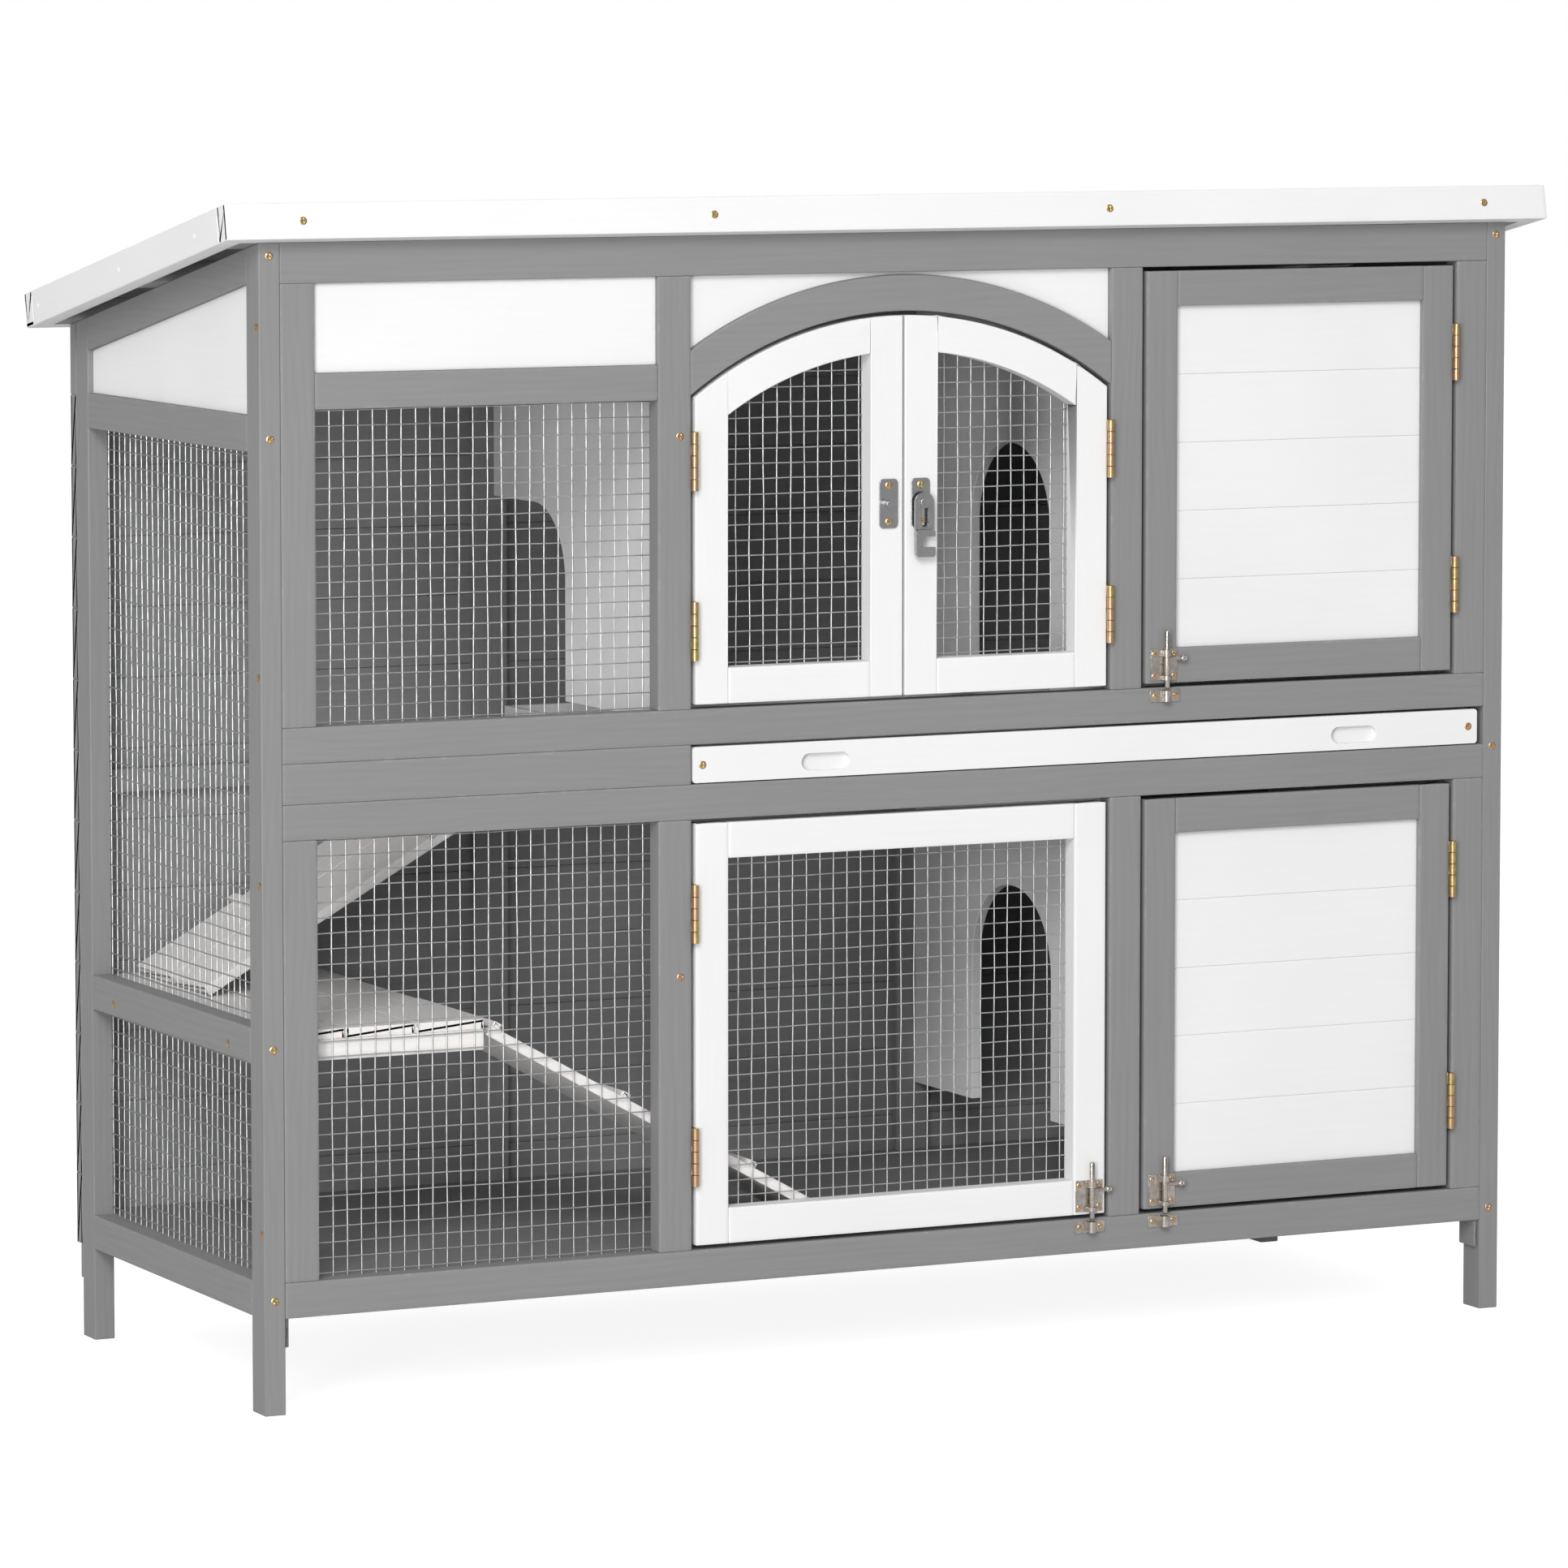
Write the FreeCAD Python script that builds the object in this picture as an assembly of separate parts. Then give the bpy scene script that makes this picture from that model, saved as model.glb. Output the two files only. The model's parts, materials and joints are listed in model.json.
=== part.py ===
import FreeCAD, Part
import math
import os

# Two-storey rabbit hutch, millimetres. x runs to the right, y to the back, z up.
# Sizes are written once here; everything that fits another piece takes its place from them.

# ---- overall -------------------------------------------------------------------------------
BODY_W = 1166.5        # over the side panels
BODY_D = 415.7         # front face to the back of the rear posts
ROOF_FALL = 11.0       # degrees, falling to the back
ROOF_SIDE = 33.0       # roof past each side panel
ROOF_FRONT = 15.5      # roof past the front face, at its lower edge
ROOF_BACK = 30.3       # roof past the rear posts, at its lower edge

# ---- members -------------------------------------------------------------------------------
SIDE_T = 18.3          # thickness of the side panels, along x
FRONT_T = 18.0         # thickness of the front frame, along y
POST_Y = 27.5          # depth of a corner post
RAIL = 29.4            # height of the rails
STILE = 30.0           # width of the stiles of the front frame
TOP_RAIL = 31.3        # height of the front top rail, before the roof cuts it
SLOPE_RAIL = 28.0      # upright height of the sloping side rails
BOARD = 9.0            # boards, planks and partitions
WALL_T = 14.3          # boards of the back wall
STRIP_T = 18.0         # roof edge strips
STRIP_H = 29.6
FELT_T = 2.0
FELT_DROP = 1.0        # felt surface under the top of the strips

# ---- heights -------------------------------------------------------------------------------
LEG_H = 79.0
LOWER_OPEN = 361.1     # clear height of the lower storey in the front frame
BAND_H = 33.2          # slot that the tray slides in
UPPER_OPEN = 359.3
WINDOW_H = 257.0       # mesh window of the upper left bay
SIDE_MID_DROP = 25.5   # underside of the middle side rail, below the platform's top
SIDE_UP_DROP = 169.8   # underside of the upper side rail, below the roof at the front face

# ---- widths --------------------------------------------------------------------------------
MID_OPEN = 394.5       # middle bay
RIGHT_OPEN = 310.1     # right bay

# ---- doors ---------------------------------------------------------------------------------
DOOR_T = 18.0
DOOR_BAR = 30.0        # width of every door member
GAP_SIDE = 4.0         # between a door and its opening, at the sides
GAP_END = 3.6          # above and below
LEAF_GAP = 2.4         # between the two arched leaves
ARCH_GAP = 3.7         # between the leaves and the arch rail
ARCH_W = 30.0          # width of the arch rail
ARCH_HEAD = 2.6        # between the top of the arch rail and the top rail
ARCH_HINGE_LOW = 65.0  # lower hinges, above the foot of the arch
ARCH_HINGE_TOP = 54.4  # upper hinges, below the arch rail's ends
PLANK_GAP = 0.15       # seam between two planks of a door
PANE_T = 8.0

# ---- wire mesh -----------------------------------------------------------------------------
PITCH = 12.7
WIRE = 1.0

# ---- hinges and latches --------------------------------------------------------------------
KNUCKLE_R = 3.0
KNUCKLE_L = 49.0
PIN_R = 1.3
PIN_CLEAR = 0.15
HINGE_OUT = 3.4        # hinge line in front of the faces
HINGE_IN = 75.0        # middle of a hinge from the end of its door
LEAF_PLATE_T = 1.1
LEAF_PLATE_D = 15.0
BOLT_R = 2.3
BOLT_L = 49.5
BOLT_CLEAR = 0.35
BOLT_THROW = 12.6
PLATE_T = 1.0
PLATE_W = 26.0
PLATE_H = 27.0
KEEPER_H = 10.5
KEEPER_W = 29.0
BOLT_OUT = 4.5         # rod line in front of the faces
HASP_R = 3.2           # studs of the arched doors' latch
HASP_CLEAR = 0.3

# ---- inside --------------------------------------------------------------------------------
PLATFORM_W = 185.0
PLATFORM_TOP = 312.0
PLATFORM_BATTEN = 17.0
RAMP_T = 9.0
RAMP_FOOT_IN = 30.9    # foot of the upper ramp, from the left panel
RAMP_RUN = 335.9       # foot of the lower ramp, from its hinge line
RAMP_HINGE_UP = 9.1    # hinge line of the upper ramp, above the deck
RAMP_FOOT_GAP = 0.8    # under the foot of a ramp
LOW_RAMP_W = 163.0
UP_RAMP_W = 160.0
CLEAT = 8.0
CLEAT_STEP = 134.0
TRAY_CLEAR = 1.0       # under the tray
TRAY_HEAD = 2.2        # over it
TRAY_BACK = 5.0        # behind it
TRAY_WALL = 6.0
TRAY_FRONT_T = 15.0
FINGER_D = 5.0         # depth of the finger recesses

SCREW_R = 3.4
SCREW_H = 0.9

# ---- levels that follow --------------------------------------------------------------------
Z_FLOOR = LEG_H + RAIL
Z_DECK0 = Z_FLOOR + LOWER_OPEN
Z_DECK1 = Z_DECK0 + RAIL
Z_BAND1 = Z_DECK1 + BAND_H
Z_UP0 = Z_BAND1 + RAIL
Z_UP1 = Z_UP0 + UPPER_OPEN
Z_TOP = Z_UP1 + TOP_RAIL + 2.0   # roof plane above the front face

TAN = math.tan(math.radians(ROOF_FALL))
SIN = math.sin(math.radians(ROOF_FALL))
COS = math.cos(math.radians(ROOF_FALL))


ARCH_R = UPPER_OPEN - ARCH_HEAD - ARCH_W      # inner radius of the arch rail
SIDE_MID_Z = PLATFORM_TOP - SIDE_MID_DROP
SIDE_UP_Z = Z_TOP - SIDE_UP_DROP
TRAY_LIP = BAND_H - TRAY_CLEAR - TRAY_HEAD    # height of the tray front


def roof_z(y):
    """Height of the plane that the roof rests on."""
    return Z_TOP - y * TAN


X1 = SIDE_T                                   # inner face of the left panel
X4R = BODY_W - SIDE_T                         # inner face of the right panel
S4 = (X4R - STILE, X4R)
S3 = (S4[0] - RIGHT_OPEN - STILE, S4[0] - RIGHT_OPEN)
S2 = (S3[0] - MID_OPEN - STILE, S3[0] - MID_OPEN)
S1 = (X1, X1 + STILE)
BACK_Y = BODY_D                               # inner face of the back boards
REAR_Y = BACK_Y + WALL_T
CAV_Y0 = FRONT_T                              # inside of the front frame


# ---- helpers -------------------------------------------------------------------------------
def box(x0, x1, y0, y1, z0, z1):
    return Part.makeBox(x1 - x0, y1 - y0, z1 - z0, FreeCAD.Vector(x0, y0, z0))


def cyl(r, h, p, d):
    return Part.makeCylinder(r, h, FreeCAD.Vector(*p), FreeCAD.Vector(*d))


def prism_x(points, x0, x1):
    """A closed outline of (y, z) points, carried from x0 to x1."""
    wire = Part.makePolygon([FreeCAD.Vector(x0, y, z) for y, z in points + points[:1]])
    return Part.Face(wire).extrude(FreeCAD.Vector(x1 - x0, 0, 0))


def prism_y(points, y0, y1):
    """A closed outline of (x, z) points, carried from y0 to y1."""
    wire = Part.makePolygon([FreeCAD.Vector(x, y0, z) for x, z in points + points[:1]])
    return Part.Face(wire).extrude(FreeCAD.Vector(0, y1 - y0, 0))


ABOVE = prism_x([(-400, roof_z(-400)), (BODY_D + 400, roof_z(BODY_D + 400)),
                 (BODY_D + 400, 4000), (-400, 4000)], -400, BODY_W + 400)


def under_roof(shape):
    return shape.cut(ABOVE)


def round_corners(shape, radius, axis):
    """Rounds the edges that run along one axis."""
    edges = []
    for e in shape.Edges:
        if len(e.Vertexes) == 2:
            v = e.Vertexes[1].Point.sub(e.Vertexes[0].Point)
            if v.Length > 1e-6 and abs(abs(v.dot(axis)) / v.Length - 1) < 1e-6:
                edges.append(e)
    return shape.makeFillet(radius, edges)


AX = FreeCAD.Vector(1, 0, 0)
AY = FreeCAD.Vector(0, 1, 0)
AZ = FreeCAD.Vector(0, 0, 1)

NODES = {}


def node(name, *shapes):
    solids = []
    for s in shapes:
        if isinstance(s, (list, tuple)):
            for t in s:
                solids.extend(t.Solids)
        else:
            solids.extend(s.Solids)
    NODES.setdefault(name, []).extend(solids)


def steps(low, high, pitch):
    """Wire places between two edges, evenly set out from the middle."""
    count = int((high - low - 2) / pitch)
    first = (low + high - count * pitch) / 2.0
    return [first + i * pitch for i in range(count + 1)]


def mesh_front(x0, x1, y1, z0, z1, top=None):
    """Welded mesh in an upright plane facing the front. top(x) lowers the upper edge."""
    out = []
    for x in steps(x0, x1, PITCH):
        h = z1 if top is None else min(top(x - WIRE / 2), top(x + WIRE / 2)) - 0.2
        if h - z0 > 2:
            out.append(box(x - WIRE / 2, x + WIRE / 2, y1 - WIRE, y1, z0, h))
    for z in steps(z0, z1, PITCH):
        a, b = x0, x1
        if top is not None:
            inside = [x0 + i * (x1 - x0) / 400.0 for i in range(401)]
            inside = [x for x in inside if top(x) > z + WIRE / 2 + 0.2]
            if len(inside) < 3:
                continue
            a, b = inside[0], inside[-1]
        out.append(box(a, b, y1 - 2 * WIRE, y1 - WIRE, z - WIRE / 2, z + WIRE / 2))
    return out


def mesh_side(y0, y1, x1, z0, z1):
    out = []
    for y in steps(y0, y1, PITCH):
        out.append(box(x1 - WIRE, x1, y - WIRE / 2, y + WIRE / 2, z0, z1))
    for z in steps(z0, z1, PITCH):
        out.append(box(x1 - 2 * WIRE, x1 - WIRE, y0, y1, z - WIRE / 2, z + WIRE / 2))
    return out


def pan_screw(x, z, y=0.0, r=SCREW_R, h=SCREW_H):
    """A low screw head on a face that looks to the front."""
    head = cyl(r, h, (x, y, z), (0, -1, 0))
    slot = box(x - r * 0.7, x + r * 0.7, y - h - 1, y - h * 0.5, z - 0.35, z + 0.35)
    slot2 = box(x - 0.35, x + 0.35, y - h - 1, y - h * 0.5, z - r * 0.7, z + r * 0.7)
    return head.cut(slot).cut(slot2)


def side_screw(y, z, x=0.0, r=SCREW_R, h=SCREW_H):
    """The same on the left side, looking to the left."""
    head = cyl(r, h, (x, y, z), (-1, 0, 0))
    slot = box(x - h - 1, x - h * 0.5, y - r * 0.7, y + r * 0.7, z - 0.35, z + 0.35)
    slot2 = box(x - h - 1, x - h * 0.5, y - 0.35, y + 0.35, z - r * 0.7, z + r * 0.7)
    return head.cut(slot).cut(slot2)


# ---- side panels ---------------------------------------------------------------------------
RY0, RY1 = POST_Y, BODY_D - POST_Y


def post(x0, y0, y1):
    return under_roof(box(x0, x0 + SIDE_T, y0, y1, 0, Z_TOP + 200))


def sloping_rail(x0):
    return prism_x([(RY0, roof_z(RY0) - SLOPE_RAIL), (RY1, roof_z(RY1) - SLOPE_RAIL),
                    (RY1, roof_z(RY1)), (RY0, roof_z(RY0))], x0, x0 + SIDE_T)


node("post_front_left", post(0, 0, POST_Y))
node("post_front_right", post(X4R, 0, POST_Y))
node("post_rear_left", post(0, RY1, BODY_D))
node("post_rear_right", post(X4R, RY1, BODY_D))

SIDE_UP1 = SIDE_UP_Z + RAIL
SIDE_MID1 = SIDE_MID_Z + RAIL
for name, x0 in (("left_side_rails", 0.0), ("right_side_rails", X4R)):
    node(name, box(x0, x0 + SIDE_T, RY0, RY1, LEG_H, Z_FLOOR),
         box(x0, x0 + SIDE_T, RY0, RY1, SIDE_MID_Z, SIDE_MID1),
         box(x0, x0 + SIDE_T, RY0, RY1, SIDE_UP_Z, SIDE_UP1), sloping_rail(x0))


def gable(x0, x1, z0):
    return prism_x([(RY0, z0), (RY1, z0), (RY1, roof_z(RY1) - SLOPE_RAIL),
                    (RY0, roof_z(RY0) - SLOPE_RAIL)], x0, x1)


node("left_gable_plank", gable(5.0, 5.0 + BOARD, SIDE_UP1))
node("right_side_planks",
     box(X4R + 4.3, X4R + 4.3 + BOARD, RY0, RY1, Z_FLOOR, SIDE_MID_Z),
     box(X4R + 4.3, X4R + 4.3 + BOARD, RY0, RY1, SIDE_MID1, SIDE_UP_Z),
     gable(X4R + 4.3, X4R + 4.3 + BOARD, SIDE_UP1))

node("side_mesh", mesh_side(RY0, RY1, X1, Z_FLOOR, SIDE_MID_Z),
     mesh_side(RY0, RY1, X1, SIDE_MID1, SIDE_UP_Z))

# ---- front frame ---------------------------------------------------------------------------
node("front_rails",
     box(X1, X4R, 0, FRONT_T, LEG_H, Z_FLOOR),
     box(X1, X4R, 0, FRONT_T, Z_DECK0, Z_DECK1),
     box(X1, X4R, 0, FRONT_T, Z_BAND1, Z_UP0),
     under_roof(box(X1, X4R, 0, FRONT_T, Z_UP1, Z_TOP + 50)),
     box(S1[1], S2[0], 0, FRONT_T, Z_UP0 + WINDOW_H, Z_UP0 + WINDOW_H + RAIL))
for a, b in (S1, S2, S3, S4):
    node("upper_stiles", box(a, b, 0, FRONT_T, Z_UP0, Z_UP1))
    node("lower_stiles", box(a, b, 0, FRONT_T, Z_FLOOR, Z_DECK0))
node("filler_board", box(X1, S2[1], 0, FRONT_T, Z_DECK1, Z_BAND1))
node("front_plank", box(S1[1], S2[0], 4, 4 + BOARD, Z_UP0 + WINDOW_H + RAIL, Z_UP1))
node("front_upper_mesh", mesh_front(S1[1], S2[0], FRONT_T, Z_UP0, Z_UP0 + WINDOW_H))
node("front_lower_mesh", mesh_front(S1[1], S2[0], FRONT_T, Z_FLOOR, Z_DECK0))

# arch rail and the panels above it
CX = (S2[1] + S3[0]) / 2.0
CZ = Z_UP0
HALF = MID_OPEN / 2.0


def disc(r, y0, y1):
    return cyl(r, y1 - y0, (CX, y0, CZ), (0, 1, 0))


ring = disc(ARCH_R + ARCH_W, 0, FRONT_T).cut(disc(ARCH_R, -1, FRONT_T + 1))
node("arch_rail", ring.common(box(S2[1], S3[0], -1, FRONT_T + 1, CZ + 1, Z_UP1)))
node("spandrel_panels",
     box(S2[1], S3[0], 6.0, 6.0 + BOARD, CZ + 1, Z_UP1)
     .cut(disc(ARCH_R + ARCH_W, 0, FRONT_T)))

# ---- back wall -----------------------------------------------------------------------------
PLANK_H = 61.0
rows = int(math.ceil((roof_z(BACK_Y) - LEG_H) / PLANK_H))
for i in range(rows):
    z0 = LEG_H + i * PLANK_H
    plank = box(0, BODY_W, BACK_Y, REAR_Y, z0, z0 + PLANK_H)
    plank = under_roof(plank)
    if plank.Solids:
        node("back_boards", plank)
BATTEN_T = 10.7
BY0 = BACK_Y - BATTEN_T
P_LEFT = S2[1]                       # left face of the partition between run and living room
P_RIGHT = S3[0] + 19.5               # left face of the partitions beside the nest rooms
BAT_L = (S2[0] + 12.0, S2[0] + 12.0 + 31.0)
BAT_R = (P_RIGHT - 18.0, P_RIGHT + 13.0)
TOP_BACK = roof_z(BACK_Y)
node("back_frame",
     box(X1, X4R, BY0, BACK_Y, LEG_H, Z_FLOOR - BOARD),
     box(X1, X4R, BY0, BACK_Y, Z_DECK0, Z_DECK1 - BOARD),
     under_roof(box(X1, X4R, BY0, BACK_Y, TOP_BACK - RAIL, Z_TOP)),
     box(BAT_L[0], BAT_L[1], BY0, BACK_Y, Z_FLOOR, Z_DECK0),
     box(BAT_R[0], BAT_R[1], BY0, BACK_Y, Z_FLOOR, Z_DECK0),
     box(BAT_L[0], BAT_L[1], BY0, BACK_Y, Z_DECK1, TOP_BACK - RAIL),
     box(BAT_R[0], BAT_R[1], BY0, BACK_Y, Z_DECK1, TOP_BACK - RAIL))

# ---- floor and fixed deck ------------------------------------------------------------------
floor = box(X1, X4R, CAV_Y0, BACK_Y, Z_FLOOR - BOARD, Z_FLOOR)
node("floor", floor)
for x in (X1 + 20, P_LEFT - 15, P_RIGHT - 15, X4R - 50):
    node("floor", box(x, x + 30, CAV_Y0, BY0, LEG_H, Z_FLOOR - BOARD))
node("upper_deck", box(P_LEFT, X4R, CAV_Y0, BACK_Y, Z_DECK1 - BOARD, Z_DECK1))
for x in (P_LEFT + 1.0, (P_LEFT + X4R) / 2.0, X4R - 20):
    node("upper_deck", box(x, x + 18, CAV_Y0, BY0, Z_DECK1 - BOARD - 9, Z_DECK1 - BOARD))

# ---- partitions ----------------------------------------------------------------------------
PART_LOW = 14.0                       # clear above the tray slot
RUN_DOOR_H = 215.1                    # head of the doorway to the run, above the deck
NEST_DOOR_H = 260.6                   # heads of the nest rooms' doorways, above deck and floor


def doorway(x0, y0, y1, z0, z1, r):
    """A cutter for a doorway with a rounded head."""
    base = box(x0 - 5, x0 + BOARD + 5, y0, y1, z0, z1 - r)
    head = box(x0 - 5, x0 + BOARD + 5, y0 + r, y1 - r, z0, z1) if y1 - y0 > 2 * r + 0.1 else None
    c1 = cyl(r, BOARD + 10, (x0 - 5, y0 + r, z1 - r), (1, 0, 0))
    c2 = cyl(r, BOARD + 10, (x0 - 5, y1 - r, z1 - r), (1, 0, 0))
    out = base.fuse(c1).fuse(c2)
    return out.fuse(head) if head else out


def partition(x0, z0, z1, back):
    return under_roof(box(x0, x0 + BOARD, CAV_Y0, back, z0, z1))


UP_PART_Z = Z_BAND1 + PART_LOW
left_part = partition(P_LEFT, UP_PART_Z, Z_TOP, BY0)
# the opening above the upper ramp runs out to the back wall
left_part = left_part.cut(doorway(P_LEFT, 254.0, BY0 + 150.0, UP_PART_Z - 10, Z_DECK1 + RUN_DOOR_H, 65.0))
node("partition_upper_left", left_part)
right_part = partition(P_RIGHT, UP_PART_Z, Z_TOP, BY0)
right_part = right_part.cut(doorway(P_RIGHT, 148.0, 296.0, UP_PART_Z - 10, Z_DECK1 + NEST_DOOR_H, 72.0))
node("partition_upper_right", right_part)
low_part = partition(P_RIGHT, Z_FLOOR + 61.5, Z_DECK1 - BOARD, BY0)
low_part = low_part.cut(doorway(P_RIGHT, 144.0, 292.5, Z_FLOOR, Z_FLOOR + NEST_DOOR_H, 72.0))
node("partition_lower_right", low_part)

# ---- platform ------------------------------------------------------------------------------
PX1 = X1 + PLATFORM_W
PY0, PY1 = CAV_Y0 + 0.5, BACK_Y
seam = 0.8
pb = (PLATFORM_W - 2 * seam) / 3.0
for i in range(3):
    x = X1 + i * (pb + seam)
    node("platform", box(x, x + pb, PY0, PY1, PLATFORM_TOP - BOARD, PLATFORM_TOP))
BZ0, BZ1 = PLATFORM_TOP - BOARD - PLATFORM_BATTEN, PLATFORM_TOP - BOARD
node("platform", box(X1, X1 + 18, PY0 + 18, PY1 - 18, BZ0, BZ1))
for y in (PY0, (PY0 + PY1) / 2 - 9, PY1 - 18):
    a = X1 if y != (PY0 + PY1) / 2 - 9 else X1 + 18
    node("platform", box(a, PX1, y, y + 18, BZ0, BZ1))

# ---- ramps ---------------------------------------------------------------------------------


def ramp(width, y0, length, cleats, overhang):
    """A ramp along +x from a hinge line at the origin, lying flat below z = 0."""
    mid = y0 + width / 2.0
    boards = [box(0, length, y0, mid - 0.4, -RAMP_T, 0), box(0, length, mid + 0.4, y0 + width, -RAMP_T, 0)]
    cl = [box(x, x + CLEAT, y0 - overhang, y0 + width + overhang, 0, CLEAT * 0.6) for x in cleats]
    return boards, cl


def tilt(shape, x, z, deg):
    """Turns a flat piece down by deg about the y axis and sets its hinge line at x, z."""
    s = shape.copy()
    s.rotate(FreeCAD.Vector(0, 0, 0), AY, deg)
    s.translate(FreeCAD.Vector(x, 0, z))
    return s


def ramp_shape(run, drop):
    """Length and slope, in degrees, of a board whose lower far corner stands run away and drop below
    the hinge line."""
    length = math.sqrt(run ** 2 + drop ** 2 - RAMP_T ** 2)
    return length, math.degrees(math.atan2(drop, run) - math.atan2(RAMP_T, length))


LR_Y0 = CAV_Y0 + 2.0
HX = PX1 + 3.0                        # hinge line of the lower ramp, beside the platform
HZ = PLATFORM_TOP - 4.0
LOW_L, LOW_SLOPE = ramp_shape(RAMP_RUN, HZ - RAMP_FOOT_GAP - Z_FLOOR)
n_cl = int((LOW_L - 12) // CLEAT_STEP) + 1
boards, cl = ramp(LOW_RAMP_W, LR_Y0, LOW_L, [6 + i * CLEAT_STEP for i in range(n_cl)], 0.0)
START = 4.4                           # the boards begin past the hinge line, clear of its plates
boards = [b.cut(box(-50, START, -50, 900, -50, 50)) for b in boards]
node("lower_ramp", [tilt(b, HX, HZ, LOW_SLOPE) for b in boards + cl])

# two small hinges on the edge of the platform
for yc in (LR_Y0 + LOW_RAMP_W * 0.27, LR_Y0 + LOW_RAMP_W * 0.73):
    r = 1.8
    plate = box(PX1, PX1 + 1.0, yc - 10, yc + 10, HZ - 14, HZ - 1)
    arm = box(PX1 + 0.2, HX - 0.5, yc - 10, yc - 3.6, HZ - 1.2, HZ + 0.0)
    arm2 = box(PX1 + 0.2, HX - 0.5, yc + 3.6, yc + 10, HZ - 1.2, HZ + 0.0)
    k1 = cyl(r, 6.4, (HX, yc - 10, HZ), (0, 1, 0))
    k2 = cyl(r, 6.4, (HX, yc + 3.6, HZ), (0, 1, 0))
    pin = cyl(0.8, 20, (HX, yc - 10, HZ), (0, 1, 0))
    node("ramp_hinge_plates", plate.fuse(arm).fuse(arm2).fuse(k1).fuse(k2).fuse(pin).removeSplitter())
    k3 = cyl(r, 6.6, (HX, yc - 3.3, HZ), (0, 1, 0))
    flap = tilt(box(0, 14, yc - 3.3, yc + 3.3, 0.0, 0.9), HX, HZ, LOW_SLOPE)
    hole = cyl(0.8 + PIN_CLEAR, 20, (HX, yc - 10, HZ), (0, 1, 0))
    flap = k3.fuse(flap).cut(hole)
    for s in NODES["lower_ramp"]:
        flap = flap.cut(s)
    node("lower_ramp_flaps", flap)

# upper ramp: hinged at the edge of the deck, its foot on the platform
UX = P_LEFT - 5.0
UZ = Z_DECK1 + RAMP_HINGE_UP
UP_L, UP_SLOPE = ramp_shape(UX - X1 - RAMP_FOOT_IN, UZ - RAMP_FOOT_GAP - PLATFORM_TOP)
UR_Y0 = BY0 - 5.0 - UP_RAMP_W
n_cl = int((UP_L - 12) // CLEAT_STEP) + 1
boards, cl = ramp(UP_RAMP_W, UR_Y0, UP_L, [6 + i * CLEAT_STEP for i in range(n_cl)], 3.0)


def mirror_tilt(shape, x, z, deg):
    s = shape.mirror(FreeCAD.Vector(0, 0, 0), AX)
    s.rotate(FreeCAD.Vector(0, 0, 0), AY, -deg)
    s.translate(FreeCAD.Vector(x, 0, z))
    return s


boards = [b.cut(box(-50, START, -50, 900, -50, 50)) for b in boards]
node("upper_ramp", [mirror_tilt(b, UX, UZ, UP_SLOPE) for b in boards + cl])
for yc in (UR_Y0 + UP_RAMP_W * 0.27, UR_Y0 + UP_RAMP_W * 0.73):
    r = 1.8
    plate = box(P_LEFT - 1.0, P_LEFT, yc - 10, yc + 10, UZ - 16, UZ - 3.0)
    arm = box(UX + 0.5, P_LEFT - 0.2, yc - 10, yc - 3.6, UZ - 3.2, UZ - 2.0)
    arm = arm.fuse(box(UX - 0.6, UX + 0.6, yc - 10, yc - 3.6, UZ - 3.2, UZ))
    arm2 = box(UX + 0.5, P_LEFT - 0.2, yc + 3.6, yc + 10, UZ - 3.2, UZ - 2.0)
    arm2 = arm2.fuse(box(UX - 0.6, UX + 0.6, yc + 3.6, yc + 10, UZ - 3.2, UZ))
    k1 = cyl(r, 6.4, (UX, yc - 10, UZ), (0, 1, 0))
    k2 = cyl(r, 6.4, (UX, yc + 3.6, UZ), (0, 1, 0))
    pin = cyl(0.8, 20, (UX, yc - 10, UZ), (0, 1, 0))
    hinge = plate.fuse(arm).fuse(arm2).fuse(k1).fuse(k2).fuse(pin)
    node("ramp_hinge_plates", hinge.removeSplitter())
    k3 = cyl(r, 6.6, (UX, yc - 3.3, UZ), (0, 1, 0))
    flap = mirror_tilt(box(0, 14, yc - 3.3, yc + 3.3, 0.0, 0.9), UX, UZ, UP_SLOPE)
    flap = k3.fuse(flap).cut(cyl(0.8 + PIN_CLEAR, 20, (UX, yc - 10, UZ), (0, 1, 0)))
    for s in NODES["upper_ramp"]:
        flap = flap.cut(s)
    node("upper_ramp_flaps", flap)

# ---- doors ---------------------------------------------------------------------------------


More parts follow.
